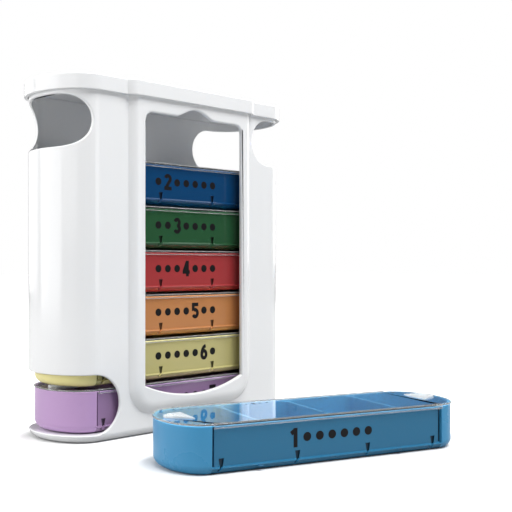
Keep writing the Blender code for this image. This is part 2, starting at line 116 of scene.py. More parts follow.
# %% [markdown]
# ## The sizes
#
# All sizes are in metres. The lengths that the model's boxes show are read from it, so that
# the finer pieces can't drift from it. What a box doesn't show, such as a wall or a corner
# radius, is written here once and used by every piece.

# %% Read the sizes of trays, lids and housing
TRAY_STRAIGHT = 0.104
PANEL_DEPTH = 0.001
LIP_REACH = 0.0004
SHAFT_END_GAP = 0.0008
SHAFT_SIDE_GAP = 0.0003

tray_low, tray_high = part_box("tray_7")
lid_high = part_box("lid_7")[1]
housing_low, housing_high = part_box("housing")
cap_low, cap_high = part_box("top_cap")

half_straight = TRAY_STRAIGHT / 2
tray_bulge = tray_high.x - half_straight
tray_half_width = tray_high.y - LIP_REACH
panel_half_width = tray_half_width - PANEL_DEPTH
tray_height = tray_high.z - tray_low.z
lid_bulge = lid_high.x - half_straight
lid_half_width = lid_high.y
housing_bulge = housing_high.x - half_straight
housing_half_width = housing_high.y
housing_height = housing_high.z
bay_face = -housing_low.y
shaft_bulge = lid_bulge + SHAFT_END_GAP
shaft_half_width = lid_half_width + SHAFT_SIDE_GAP


def in_mm(*lengths):
    """Lengths in millimetres, for the notes that the cells print."""
    return [round(length * 1000, 2) for length in lengths]


print("tray:", in_mm(TRAY_STRAIGHT, tray_bulge, tray_half_width, tray_height))
print("housing:", in_mm(housing_bulge, housing_half_width, housing_height, bay_face))

# %% [markdown]
# ## One rule for every plan
#
# Seen from above, the housing, its shaft, the trays and the lids all have the same kind of
# outline: two straight sides joined by two half ovals. A shape that follows one rule is a good
# case for Geometry Nodes, because the rule is built once and only its inputs change. The tree
# numbers the points of a circle, works out on which end each point lies and at which angle,
# moves it there, and extrudes the face to the wanted height.

# %% Small helpers for all node trees
def feed(tree, node, values):
    """Wires or sets inputs of a node, each given by its name or its place."""
    for socket, value in values.items():
        if isinstance(value, bpy.types.NodeSocket):
            tree.links.new(value, node.inputs[socket])
        else:
            node.inputs[socket].default_value = value


def add_node(tree, kind, values=None, **settings):
    """A new node with its settings, and with its inputs wired or set."""
    node = tree.nodes.new(kind)
    for name, value in settings.items():
        setattr(node, name, value)
    feed(tree, node, values or {})
    return node


def maths(tree, operation, first, second=0.0):
    """One sum as a Math node. Returns its output."""
    return add_node(tree, "ShaderNodeMath", {0: first, 1: second}, operation=operation).outputs[0]


def name_sockets(tree, in_out, kinds):
    """Gives a tree its named inputs or outputs, each with its kind of value."""
    for name, kind in kinds.items():
        tree.interface.new_socket(name, in_out=in_out, socket_type=f"NodeSocket{kind}")


def sockets(tree, in_out):
    """The identifiers of a tree's inputs or outputs, by their names."""
    return {s.name: s.identifier for s in tree.interface.items_tree if s.in_out == in_out}


print("helpers for node trees are ready")

# %% Helpers for trees that make a shape
def new_shape_tree(name, kinds):
    """An empty Geometry Nodes tree with its named inputs. Returns it and what it is given."""
    tree = bpy.data.node_groups.new(name, "GeometryNodeTree")
    name_sockets(tree, "INPUT", {**kinds, "Material": "Material"})
    name_sockets(tree, "OUTPUT", {"Geometry": "Geometry"})
    return tree, add_node(tree, "NodeGroupInput").outputs


def join_shapes(tree, *shapes):
    """Joins shapes into one."""
    joined = add_node(tree, "GeometryNodeJoinGeometry")
    for shape in shapes:
        tree.links.new(shape, joined.inputs[0])
    return joined.outputs[0]


def end_tree(tree, shape, material):
    """Ends a tree: copies become real, the material is set, and the shape goes out."""
    real = add_node(tree, "GeometryNodeRealizeInstances", {"Geometry": shape}).outputs[0]
    finish = add_node(tree, "GeometryNodeSetMaterial", {"Geometry": real, "Material": material})
    feed(tree, add_node(tree, "NodeGroupOutput"), {0: finish.outputs["Geometry"]})


print("helpers for shapes are ready")

# %% Build the tree of the round-ended block
MERGE_DISTANCE = 0.00001


def round_ended_block_tree():
    """Geometry Nodes: a block whose plan has two straight sides and two half ovals."""
    tree, given = new_shape_tree("round_ended_block", {
        "Straight Length": "Float",
        "End Bulge": "Float",
        "Half Width": "Float",
        "Low": "Float",
        "High": "Float",
        "End Steps": "Int",
    })
    per_end = maths(tree, "ADD", given["End Steps"], 1.0)
    count = maths(tree, "MULTIPLY", per_end, 2.0)
    circle = add_node(tree, "GeometryNodeMeshCircle", {"Vertices": count}, fill_type="NGON")
    index = add_node(tree, "GeometryNodeInputIndex").outputs[0]
    end = maths(tree, "FLOOR", maths(tree, "DIVIDE", maths(tree, "ADD", index, 0.5), per_end))
    step = maths(tree, "SUBTRACT", index, maths(tree, "MULTIPLY", end, per_end))
    side = maths(tree, "SUBTRACT", 1.0, maths(tree, "MULTIPLY", end, 2.0))
    turn = maths(tree, "SUBTRACT", maths(tree, "DIVIDE", step, given["End Steps"]), 0.5)
    angle = maths(tree, "MULTIPLY", turn, math.pi)
    straight = maths(tree, "DIVIDE", given["Straight Length"], 2.0)
    along = maths(tree, "MULTIPLY", given["End Bulge"], maths(tree, "COSINE", angle))
    across = maths(tree, "MULTIPLY", given["Half Width"], maths(tree, "SINE", angle))
    place = add_node(tree, "ShaderNodeCombineXYZ", {
        "X": maths(tree, "MULTIPLY", side, maths(tree, "ADD", straight, along)),
        "Y": maths(tree, "MULTIPLY", side, across),
        "Z": given["Low"],
    })
    outline = add_node(tree, "GeometryNodeSetPosition", {
        "Geometry": circle.outputs["Mesh"],
        "Position": place.outputs["Vector"],
    }).outputs["Geometry"]
    up = add_node(tree, "GeometryNodeExtrudeMesh", {
        "Mesh": outline,
        "Offset": (0.0, 0.0, 1.0),
        "Offset Scale": maths(tree, "SUBTRACT", given["High"], given["Low"]),
    }, mode="FACES")
    floor = add_node(tree, "GeometryNodeFlipFaces", {"Mesh": outline})
    both = join_shapes(tree, up.outputs["Mesh"], floor.outputs["Mesh"])
    merging = {"Geometry": both, "Distance": MERGE_DISTANCE}
    closed = add_node(tree, "GeometryNodeMergeByDistance", merging)
    end_tree(tree, closed.outputs["Geometry"], given["Material"])
    return tree


block_tree = round_ended_block_tree()
print("inputs of the block:", list(sockets(block_tree, "INPUT")))

# %% [markdown]
# A modifier finds its inputs by the identifier of each socket, so the next helper looks the
# identifiers up by name and sets them before anything is evaluated. The evaluated shape is
# then copied into a plain mesh, and the modifier has done its work.

# %% Turn a tree into a plain mesh
END_STEPS = 44


def discard(*pieces):
    """Takes objects out of the scene."""
    for piece in pieces:
        bpy.data.objects.remove(piece, do_unlink=True)


def settle(source, name):
    """Copies the evaluated shape of an object into a new plain one, and removes the old one."""
    bpy.context.view_layer.update()
    graph = bpy.context.evaluated_depsgraph_get()
    mesh = bpy.data.meshes.new_from_object(source.evaluated_get(graph), depsgraph=graph)
    discard(source)
    return in_scene(name, mesh)


def run_tree(name, tree, values):
    """A plain mesh object made by a Geometry Nodes tree with the given named inputs."""
    start = in_scene(f"{name}_start", bpy.data.meshes.new(name))
    modifier = start.modifiers.new("shape", "NODES")
    modifier.node_group = tree
    identifiers = sockets(tree, "INPUT")
    for label, value in values.items():
        modifier[identifiers[label]] = value
    return settle(start, name)


def block(name, bulge, half_width, low, high, steps=END_STEPS):
    """A block with round ends, from one level to another."""
    return run_tree(name, block_tree, {
        "Straight Length": TRAY_STRAIGHT,
        "End Bulge": bulge,
        "Half Width": half_width,
        "Low": low,
        "High": high,
        "End Steps": steps,
    })


trial = block("trial_block", tray_bulge, tray_half_width, 0.0, tray_height)
print("a trial block:", len(trial.data.polygons), "faces, size in mm", in_mm(*trial.dimensions))
discard(trial)

# %% [markdown]
# ## Flat outlines, cuts and rounded edges
#
# Windows, bites and panels are flat outlines pushed through the material, as a toolmaker would
# draw them. One helper turns an outline into a block that faces up, to the front or to the
# side. Boolean modifiers join and cut. A Bevel modifier with edge weights then rounds only the
# edges that a real mould would round, which is what makes plastic catch the light.

# %% Outlines and solids
QUARTER = math.pi / 2
FACING_UP = Matrix.Identity(3)
FACING_FRONT = Matrix(((1, 0, 0), (0, 0, 1), (0, 1, 0)))
FACING_SIDE = Matrix(((0, 0, 1), (1, 0, 0), (0, 1, 0)))


def oval_arc(centre, reaches, start, end, steps):
    """Points on a piece of an oval from one angle to another, both ends included."""
    points = []
    for i in range(steps + 1):
        angle = start + (end - start) * i / steps
        x = centre[0] + reaches[0] * math.cos(angle)
        points.append((x, centre[1] + reaches[1] * math.sin(angle)))
    return points


def arc(centre, radius, start, end, steps):
    """Points on a round arc from one angle to another."""
    return oval_arc(centre, (radius, radius), start, end, steps)


def rectangle(x0, x1, y0, y1):
    """The four corners of a rectangle."""
    return [(x0, y0), (x1, y0), (x1, y1), (x0, y1)]


def from_bmesh(name, shape):
    """Turns a finished bmesh into an object of the scene."""
    mesh = bpy.data.meshes.new(name)
    shape.to_mesh(mesh)
    shape.free()
    return in_scene(name, mesh)


def solid_through(name, outlines):
    """A closed solid through outlines with the same number of points, each a list of 3-D points."""
    shape = bmesh.new()
    rings = [[shape.verts.new(point) for point in outline] for outline in outlines]
    shape.faces.new(rings[0])
    shape.faces.new(rings[-1])
    for ring, following in zip(rings, rings[1:]):
        for i, corner in enumerate(ring):
            after = (i + 1) % len(ring)
            shape.faces.new((corner, ring[after], following[after], following[i]))
    bmesh.ops.recalc_face_normals(shape, faces=shape.faces)
    return from_bmesh(name, shape)


def slab(name, outline, low, high, facing=FACING_UP):
    """A flat outline given thickness, from low to high along the direction that it faces."""
    levels = [[facing @ Vector((x, y, z)) for x, y in outline] for z in (low, high)]
    return solid_through(name, levels)


print("an arc of a quarter turn:", arc((0, 0), 1, 0, QUARTER, 2))

# %% Cuts and rounded edges
FLAT_ANGLE = math.radians(0.3)
SMOOTH_ANGLE = math.radians(32)
RIM_ANGLE = math.radians(40)


def at_level(axis, level):
    """Chooses edges that lie at one level of X, Y or Z, given as 0, 1 or 2."""
    return lambda edge: all(abs(v.co[axis] - level) < MERGE_DISTANCE for v in edge.verts)


def is_rim(edge):
    """True for an outward edge that bends enough to need rounding."""
    return edge.calc_face_angle() > RIM_ANGLE and edge.is_convex


def mark_edges(target, chosen):
    """Gives each edge the weight that a Bevel modifier reads, from 0 to 1.

    Returns how many edges have one.
    """
    mesh = target.data
    shape = bmesh.new()
    shape.from_mesh(mesh)
    weights = [float(len(edge.link_faces) == 2 and chosen(edge)) for edge in shape.edges]
    shape.free()
    layer = mesh.attributes.get("bevel_weight_edge")
    layer = layer or mesh.attributes.new("bevel_weight_edge", "FLOAT", "EDGE")
    layer.data.foreach_set("value", weights)
    return sum(weight > 0 for weight in weights)


def round_marked(target, width, segments, name):
    """Rounds the marked edges by a radius, and settles the piece under a new name."""
    bevel = target.modifiers.new("rounded_edges", "BEVEL")
    bevel.limit_method = "WEIGHT"
    bevel.width = width
    bevel.segments = segments
    bevel.use_clamp_overlap = False
    return settle(target, name)


def round_level(target, level, radius, segments, name):
    """Rounds the edges that lie at one height."""
    mark_edges(target, at_level(2, level))
    return round_marked(target, radius, segments, name)


def merge_close(target):
    """Merges points that lie on each other, and dissolves edges inside flat faces."""
    shape = bmesh.new()
    shape.from_mesh(target.data)
    bmesh.ops.remove_doubles(shape, verts=shape.verts, dist=MERGE_DISTANCE)
    inner = [edge for edge in shape.edges if len(edge.link_faces) == 2]
    flat = [edge for edge in inner if edge.calc_face_angle() < FLAT_ANGLE]
    bmesh.ops.dissolve_edges(shape, edges=flat, use_verts=False)
    bmesh.ops.recalc_face_normals(shape, faces=shape.faces)
    shape.to_mesh(target.data)
    shape.free()


def cut_all(target, name, joins=(), cuts=()):
    """Joins and cuts the given tools, and returns the settled result without them."""
    tools = [(tool, "UNION") for tool in joins] + [(tool, "DIFFERENCE") for tool in cuts]
    for tool, operation in tools:
        modifier = target.modifiers.new(tool.name, "BOOLEAN")
        modifier.operation = operation
        modifier.solver = "EXACT"
        modifier.object = tool
    result = settle(target, name)
    discard(*joins, *cuts)
    merge_close(result)
    return result


def smooth(target):
    """Smooth shading that keeps real edges crisp and large faces flat. Returns the result."""
    target.data.shade_smooth()
    target.data.set_sharp_from_angle(angle=SMOOTH_ANGLE)
    even = target.modifiers.new("even_shading", "WEIGHTED_NORMAL")
    even.keep_sharp = True
    return settle(target, target.name)


print("edges are rounded where they bend by", round(math.degrees(RIM_ANGLE)), "degrees or more")

# %% [markdown]
# ## The housing
#
# The housing is one moulding: an oval tower with a floor, a bay that stands out of its front,
# and a window in the bay. A bite at each upper end and one at the lower left let trays in and
# out. It is made as a toolmaker thinks of it: the outside, minus the shaft, minus the hollow
# of the bay, minus the window and the bites. The foot is rounded before the cuts, while its
# edge is still simple. The bay's edge is wide and round, from a crease on the wall to the flat
# face, so the bay is built through many outlines, each smaller and further out.

# %% The round edge of the bay
BAY_HALF_WIDTH = 0.0365
BAY_BOTTOM = 0.0106
BAY_CORNER_RADIUS = 0.0125
BAY_CORNER_STEPS = 14
BAY_EDGE_WIDTH = 0.0056
BAY_EDGE_OUTSET = 0.0009
BAY_EDGE_SEGMENTS = 12

bay_depth = bay_face - housing_half_width
bay_edge_angle = 2 * math.atan(bay_depth / BAY_EDGE_WIDTH)
bay_edge_radius = BAY_EDGE_WIDTH / math.sin(bay_edge_angle)


def round_edge():
    """The bay's edge: one round arc from a crease on the wall to the bay's flat face.

    Each point is how far it lies inside the bay's nominal outline, and how far it stands out of
    the wall.
    """
    points = []
    for i in range(BAY_EDGE_SEGMENTS + 1):
        angle = bay_edge_angle * (1 - i / BAY_EDGE_SEGMENTS)
        inset = BAY_EDGE_WIDTH - BAY_EDGE_OUTSET - bay_edge_radius * math.sin(angle)
        points.append((inset, bay_depth - bay_edge_radius * (1 - math.cos(angle))))
    return points


print("the bay's edge starts at", round(math.degrees(bay_edge_angle)), "degrees to the wall")

# %% The outside of the housing
HOUSING_FOOT_RADIUS = 0.004
FOOT_SEGMENTS = 8
HOUSING_END_STEPS = 38
WALL_OVERLAP = 0.00002


def bay_outline(inset, top):
    """Front view of the bay: straight sides, and a lower end with wide round corners."""
    half_width = BAY_HALF_WIDTH - inset
    radius = BAY_CORNER_RADIUS - inset
    centre_x = half_width - radius
    centre_z = BAY_BOTTOM + inset + radius
    outline = arc((-centre_x, centre_z), radius, math.pi, QUARTER * 3, BAY_CORNER_STEPS)
    outline += arc((centre_x, centre_z), radius, -QUARTER, 0, BAY_CORNER_STEPS)
    return outline + [(half_width, top), (-half_width, top)]


def bay_block():
    """The bay with its round edge, from inside the tower to its face."""
    steps = round_edge()
    levels = [(steps[0][0], -housing_half_width)]
    levels += [(inset, rise - WALL_OVERLAP) for inset, rise in steps[:-1]] + [steps[-1]]
    outlines = []
    for inset, rise in levels:
        y = -housing_half_width - rise
        outlines.append([(x, y, z) for x, z in bay_outline(inset, housing_height)])
    return solid_through("bay", outlines)


def tower_block():
    """The tower's outside with its rounded foot."""
    sizes = (housing_bulge, housing_half_width, 0.0, housing_height, HOUSING_END_STEPS)
    body = block("housing_outside", *sizes)
    return round_level(body, 0.0, HOUSING_FOOT_RADIUS, FOOT_SEGMENTS, "housing_body")


housing_body = tower_block()
bay = bay_block()
print("outside of the housing:", len(housing_body.data.polygons), "faces")
print("bay:", len(bay.data.polygons), "faces")

# %% The window
WINDOW_HALF_WIDTH = 0.0297
WINDOW_HEADROOM = 0.012
WINDOW_SIDE_BOTTOM = 0.0226
WINDOW_SILL_DROP = 0.0061
WINDOW_CORNER_RADIUS = 0.0042
NOTCH_HALF_WIDTH = 0.0112
NOTCH_FULLNESS = 0.65
NOTCH_RISE = 0.0039
CORNER_STEPS = 8
SILL_STEPS = 28
NOTCH_STEPS = 28


def window_outline():
    """Front view of the window: a thumb notch in its top edge, and a sill that sags."""
    half = WINDOW_HALF_WIDTH
    radius = WINDOW_CORNER_RADIUS
    top = housing_height - WINDOW_HEADROOM
    sill_radius = (half**2 + WINDOW_SILL_DROP**2) / (2 * WINDOW_SILL_DROP)
    sag = math.asin(half / sill_radius)
    sill_centre = (0, WINDOW_SIDE_BOTTOM - WINDOW_SILL_DROP + sill_radius)
    outline = arc(sill_centre, sill_radius, -QUARTER - sag, -QUARTER + sag, SILL_STEPS)
    outline += arc((half - radius, top - radius), radius, 0, QUARTER, CORNER_STEPS)
    for i in range(NOTCH_STEPS + 1):
        turn = math.pi * (2 * i / NOTCH_STEPS - 1)
        rise = NOTCH_RISE * ((1 + math.cos(turn)) / 2) ** NOTCH_FULLNESS
        outline.append((-NOTCH_HALF_WIDTH * turn / math.pi, top + rise))
    return outline + arc((radius - half, top - radius), radius, QUARTER, math.pi, CORNER_STEPS)


print("points round the window:", len(window_outline()))

# %% The bites at the ends
TRAY_PITCH = 0.0201
HOUSING_FLOOR = 0.0035
STACKED_TRAYS = 6
REST_GAP = 0.0003
ENTRY_LIP = 0.0029
ENTRY_HEADROOM = 0.0026
EXIT_HEADROOM = 0.0056
EXIT_DEPTH = 0.026
ENTRY_LEFT_DEPTH = 0.0124
ENTRY_RIGHT_DEPTH = 0.0284
BITE_STEPS = 32
CUT_OVERRUN = 0.002

entry_bottom = HOUSING_FLOOR + REST_GAP + STACKED_TRAYS * TRAY_PITCH + ENTRY_LIP
entry_top = entry_bottom + TRAY_PITCH + ENTRY_HEADROOM
exit_top = HOUSING_FLOOR + TRAY_PITCH + EXIT_HEADROOM


def bite(name, side, depth, low, high):
    """A cut through both long walls at one end, with a round inner end."""
    radius = (high - low) / 2
    end = half_straight + housing_bulge
    centre = (end - depth + radius, low + radius)
    outline = arc(centre, radius, QUARTER, QUARTER * 3, BITE_STEPS)
    outline += [(end + CUT_OVERRUN, low), (end + CUT_OVERRUN, high)]
    outline = [(side * x, z) for x, z in outline]
    reach = bay_face + CUT_OVERRUN
    return slab(name, outline, -reach, reach, FACING_FRONT)


print("entry from and to, in mm:", in_mm(entry_bottom, entry_top))

# %% Cut the housing and round its rims
BAY_WALL = 0.0022
WINDOW_RIM_RADIUS = 0.0009
BITE_RIM_RADIUS = 0.0006
INNER_RIM_RADIUS = 0.0003
RIM_SEGMENTS = 4
RIM_REACH = 0.02


def housing_rim(edge):
    """How much an edge of the housing is rounded, as a share of the window's rim."""
    if not is_rim(edge):
        return 0.0
    if at_level(1, -bay_face)(edge):
        return 1.0
    middle = (edge.verts[0].co + edge.verts[1].co) / 2
    past_straight = max(abs(middle.x) - half_straight, 0)
    reach = math.hypot(past_straight / housing_bulge, middle.y / housing_half_width)
    radius = BITE_RIM_RADIUS if reach > 1 - RIM_REACH else INNER_RIM_RADIUS
    return radius / WINDOW_RIM_RADIUS


def housing_shell():
    """The housing with its shaft, hollow bay, window and bites, and with rounded rims."""
    over = housing_height + CUT_OVERRUN
    hollow = bay_outline(BAY_WALL, over)
    cuts = (
        block("shaft", shaft_bulge, shaft_half_width, HOUSING_FLOOR, over),
        slab("bay_hollow", hollow, BAY_WALL - bay_face, 0.0, FACING_FRONT),
        slab("window", window_outline(), -bay_face - CUT_OVERRUN, 0.0, FACING_FRONT),
        bite("exit_left", -1, EXIT_DEPTH, HOUSING_FLOOR, exit_top),
        bite("entry_left", -1, ENTRY_LEFT_DEPTH, entry_bottom, entry_top),
        bite("entry_right", 1, ENTRY_RIGHT_DEPTH, entry_bottom, entry_top),
    )
    shell = cut_all(housing_body, "tower_housing", joins=(bay,), cuts=cuts)
    print("rim edges rounded on the housing:", mark_edges(shell, housing_rim))
    return smooth(round_marked(shell, WINDOW_RIM_RADIUS, RIM_SEGMENTS, "tower_housing"))


housing = housing_shell()
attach(housing, "tower")
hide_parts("housing")
print("housing:", len(housing.data.polygons), "faces")

# %% [markdown]
# ## The top cap
#
# The cap is a flat lid with a skirt that stands out a little past the housing, also past the
# bay. Its outline joins the tower's plan and the bay's rounded front. The inside is cut with
# the same two shapes, a fit's gap larger than the housing. A plug under the roof fills the top
# of the shaft, so the ceiling over the trays lies lower than the roof.

# %% Make the top cap
CAP_OVERHANG = 0.0016
CAP_END_OVERHANG = 0.0022
CAP_CLEARANCE = 0.0003
CAP_EDGE_RADIUS = 0.0009
CAP_EDGE_SEGMENTS = 6
CAP_RIM_RADIUS = 0.0003
CAP_PLUG_DEPTH = 0.0028
cap_wall = CAP_OVERHANG - CAP_CLEARANCE


def bay_plan(gap):
    """Plan of the bay and its round edges, a gap larger than the housing's."""
    side = BAY_HALF_WIDTH + gap
    wall = housing_half_width + gap
    left = [(inset - side, -wall - rise) for inset, rise in round_edge()]
    right = [(-x, y) for x, y in reversed(left)]
    return left + right + [(right[-1][0], 0.0), (left[0][0], 0.0)]


def cap_plan(name, end_gap, gap, low, high):
    """A block with the tower's plan and one with the bay's, both a gap larger."""
    tower = block(f"{name}_tower", housing_bulge + end_gap, housing_half_width + gap, low, high)
    return tower, slab(f"{name}_bay", bay_plan(gap), low, high)


def cap_shell():
    """The cap: a rounded block, hollowed by the tower's and the bay's plan, with a plug."""
    low, high = cap_low.z, cap_high.z
    outer, front = cap_plan("cap_outside", CAP_END_OVERHANG, CAP_OVERHANG, low, high)
    outer = cut_all(outer, "cap_outer", joins=(front,))
    outer = round_level(outer, high, CAP_EDGE_RADIUS, CAP_EDGE_SEGMENTS, "cap_rounded")
    roof = high - cap_wall
    gap = CAP_CLEARANCE
    room = cap_plan("cap_room", gap, gap, low - CUT_OVERRUN, roof)
    shell = cut_all(outer, "cap_hollow", cuts=room)
    plug_sides = (shaft_bulge - gap, shaft_half_width - gap)
    plug = block("cap_plug", *plug_sides, roof - CAP_PLUG_DEPTH, roof + cap_wall / 2)
    shell = cut_all(shell, "tower_cap", joins=(plug,))
    return smooth(round_level(shell, low, CAP_RIM_RADIUS, RIM_SEGMENTS, "tower_cap"))


cap = cap_shell()
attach(cap, "tower")
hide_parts("top_cap")
print("cap:", len(cap.data.polygons), "faces")

# %% [markdown]
# ## The trays
#
# All seven trays come from one mould, so one mesh is made and copied. The tray has a rounded
# foot, a shallow panel in each long side between a foot ledge and a lip, four marks at the
# foot of the front panel, and four pockets with rounded corners. Every outer edge is softened
# by a quarter of a millimetre, because the bright lines along a tray's edges are what tell
# the eye that it is moulded. Only the marks and slots stay crisp.

# %% The tray's sides
TRAY_FOOT_RADIUS = 0.0036
PANEL_LEDGE_HEIGHT = 0.0026
LIP_HEIGHT = 0.0004
LIP_END_SETBACK = 0.0003
LEDGE_SLOPE_HEIGHT = 0.0006
SLOT_WIDTH = 0.001
SLOT_DEPTH = 0.0007

panel_low = PANEL_LEDGE_HEIGHT + LEDGE_SLOPE_HEIGHT / 2
panel_top = tray_height - LIP_HEIGHT


def panel_tool(side):
    """The shallow recess in one long side, with a sloped ledge at its foot."""
    inside = side * panel_half_width
    outside = side * (tray_half_width + CUT_OVERRUN)
    ledge = PANEL_LEDGE_HEIGHT - LEDGE_SLOPE_HEIGHT / 2
    section = [
        (inside, panel_low),
        (side * tray_half_width, ledge),
        (outside, ledge),
        (outside, panel_top),
        (inside, panel_top),
    ]
    return slab("panel_tool", section, -half_straight, half_straight, FACING_SIDE)


def slot_tool(side, end):
    """The narrow upright slot between the panel and the tray's round end."""
    outline = rectangle(end * (half_straight - SLOT_WIDTH), end * half_straight, panel_low, panel_top)
    levels = sorted(side * (panel_half_width + depth) for depth in (-SLOT_DEPTH, SLOT_DEPTH))
    return slab("slot_tool", outline, *levels, FACING_FRONT)


def lip_bar():
    """The lip along both long sides, as one bar from side to side."""
    reach = half_straight - LIP_END_SETBACK
    width = tray_half_width + LIP_REACH
    return slab("lip_bar", rectangle(-reach, reach, -width, width), panel_top, tray_height)


print("panel from and to, in mm:", in_mm(panel_low, panel_top))

# %% The marks and the pockets
COMPARTMENTS = 4
COMPARTMENT_PITCH = 0.032
TRAY_WALL = 0.0012
TRAY_FLOOR = 0.0012
DIVIDER_THICKNESS = 0.0012
DIVIDER_SETBACK = 0.0004
POCKET_CORNER_RADIUS = 0.0025
POCKET_FLOOR_RADIUS = 0.003
POCKET_SEGMENTS = 6
MARK_TOP = 0.0058
MARK_WAIST = 0.0027
MARK_BOTTOM = 0.001
MARK_HALF_WIDTH = 0.0011
MARK_WAIST_HALF_WIDTH = 0.00055
MARK_TAIL_SHIFT = 0.0014
MARK_DEPTH = 0.0007

pocket_half_width = panel_half_width - TRAY_WALL


def compartment_middle(index):
    """Where the middle of a compartment lies along the tray, counted from the left."""
    return (index - (COMPARTMENTS - 1) / 2) * COMPARTMENT_PITCH


def turned(side, outline):
    """An outline as it is drawn at the right end, or turned round to the left one."""
    return [(side * x, side * y) for x, y in outline]


def mark_tool(x):
    """A notch that narrows downwards and ends in a tail across the foot ledge."""
    waist = MARK_WAIST_HALF_WIDTH
    tail = x - MARK_TAIL_SHIFT
    outline = [
        (tail - waist, MARK_BOTTOM),
        (tail + waist, MARK_BOTTOM),
        (x + waist, MARK_WAIST),
        (x + MARK_HALF_WIDTH, MARK_TOP),
        (x - MARK_HALF_WIDTH, MARK_TOP),
        (x - waist, MARK_WAIST),
    ]
    outside = -(tray_half_width + CUT_OVERRUN)
    return slab("mark_tool", outline, outside, MARK_DEPTH - panel_half_width, FACING_FRONT)


def pocket_outline(index):
    """Plan of one compartment, counted from the left.

    A middle one has four rounded corners, and an end one has two and the tray's oval end.
    """
    radius = POCKET_CORNER_RADIUS
    x0 = (index - COMPARTMENTS / 2) * COMPARTMENT_PITCH + DIVIDER_THICKNESS / 2
    x1 = x0 + COMPARTMENT_PITCH - DIVIDER_THICKNESS
    side = -1 if index == 0 else 1
    near = -x1 if index == 0 else x0
    y = pocket_half_width - radius
    corners = [(x1 - radius, -y), (x1 - radius, y), (near + radius, y), (near + radius, -y)]
    arcs = [
        arc(corner, radius, (i - 1) * QUARTER, i * QUARTER, CORNER_STEPS)
        for i, corner in enumerate(corners)
    ]
    if index in (0, COMPARTMENTS - 1):
        reaches = (tray_bulge - TRAY_WALL, pocket_half_width)
        arcs[:2] = [oval_arc((half_straight, 0.0), reaches, -QUARTER, QUARTER, END_STEPS)]
    return turned(side, sum(arcs, []))


def pocket_tool(index):
    """One compartment as a block with a rounded floor."""
    pocket = slab("pocket", pocket_outline(index), TRAY_FLOOR, tray_height + CUT_OVERRUN)
    return round_level(pocket, TRAY_FLOOR, POCKET_FLOOR_RADIUS, POCKET_SEGMENTS, "pocket_tool")


def divider_trim():
    """Takes the dividers a little below the rim, so that the lid passes over them."""
    reach = COMPARTMENT_PITCH * (COMPARTMENTS / 2 - 1) + DIVIDER_THICKNESS
    outline = rectangle(-reach, reach, -pocket_half_width, pocket_half_width)
    return slab("divider_trim", outline, tray_height - DIVIDER_SETBACK, tray_height + CUT_OVERRUN)


print("compartments in each tray:", COMPARTMENTS)

# %% Mould one tray
TRAY_EDGE_RADIUS = 0.00025
TRAY_EDGE_SEGMENTS = 3
CRISP_EDGE_SHARE = 0.3
SIDES = (-1, 1)


def tray_edge(edge):
    """How much an edge of the tray is softened. The marks and slots stay crisp."""
    if not is_rim(edge):
        return 0.0
    low, high = sorted(abs(v.co.y) - panel_half_width for v in edge.verts)
    on_panel = high < MERGE_DISTANCE and low > -MARK_DEPTH - MERGE_DISTANCE
    below_lip = all(v.co.z < panel_top - MERGE_DISTANCE for v in edge.verts)
    return CRISP_EDGE_SHARE if on_panel and below_lip else 1.0


def mould_tray():
    """The tray that all seven copies share, standing on Z 0."""
    body = block("tray_outside", tray_bulge, tray_half_width, 0.0, tray_height)
    body = round_level(body, 0.0, TRAY_FOOT_RADIUS, FOOT_SEGMENTS, "tray_body")
    tray = cut_all(body, "tray_panelled", cuts=[panel_tool(side) for side in SIDES])
    tray = cut_all(tray, "tray_lipped", joins=(lip_bar(),))
    slots = [slot_tool(side, end) for side in SIDES for end in SIDES]
    marks = [mark_tool(compartment_middle(i)) for i in range(COMPARTMENTS)]
    pockets = [pocket_tool(i) for i in range(COMPARTMENTS)]
    tray = cut_all(tray, "tray_cut", cuts=(*slots, *marks, *pockets, divider_trim()))
    print("edges softened on the tray:", mark_edges(tray, tray_edge))
    return smooth(round_marked(tray, TRAY_EDGE_RADIUS, TRAY_EDGE_SEGMENTS, "tray_mould"))


tray_mould = mould_tray()
print("one tray:", len(tray_mould.data.polygons), "faces")

# %% [markdown]
# One moulding can show more than one finish. The tray's long sides are glossy, and its ends and
# pockets are softer. The long sides also carry painted shade, a darker copy of the tray's
# colour, and the slots and marks carry a much darker copy, which paints the shade in them. So
# each face is sorted into one of three slots, which get their materials later.

# %% Sort the tray's faces into finishes
SIDE_TILT = 0.2
RECESS_START = 0.0002
RECESS_TILT = 0.9
FIRST_FINISH, SECOND_FINISH, THIRD_FINISH = range(3)


def sort_faces(piece, finish_of):
    """Gives each face of a piece the slot of its finish."""
    for face in piece.data.polygons:
        face.material_index = finish_of(face)


def tray_finish(face):
    """Round ends and pockets have the first finish, grooves the second and sides the third, both with
    painted shade.
    """
    middle = face.center
    if abs(middle.x) >= half_straight:
        return FIRST_FINISH
    depth = panel_half_width - abs(middle.y)
    in_groove = RECESS_START < depth < MARK_DEPTH + RECESS_START and middle.z < panel_top
    if in_groove and abs(face.normal.z) < RECESS_TILT:
        return SECOND_FINISH
    outward = face.normal.y * math.copysign(1, middle.y)
    return THIRD_FINISH if outward > SIDE_TILT and depth < TRAY_FOOT_RADIUS else FIRST_FINISH


sort_faces(tray_mould, tray_finish)
finishes = [face.material_index for face in tray_mould.data.polygons]
print("faces of the tray by finish:", [finishes.count(finish) for finish in range(3)])

# %% [markdown]
# ## The lids
#
# A lid is a clear plate that ends in the same ovals as the tray. A rail along each long side
# stands up as a bead and reaches down outside the tray's lip, where a small hook holds it. Two
# arrow-shaped grips give the thumb a hold. The plate and rails are thin, so the edges get a
# small radius, which is what draws the bright and dark lines in clear plastic.

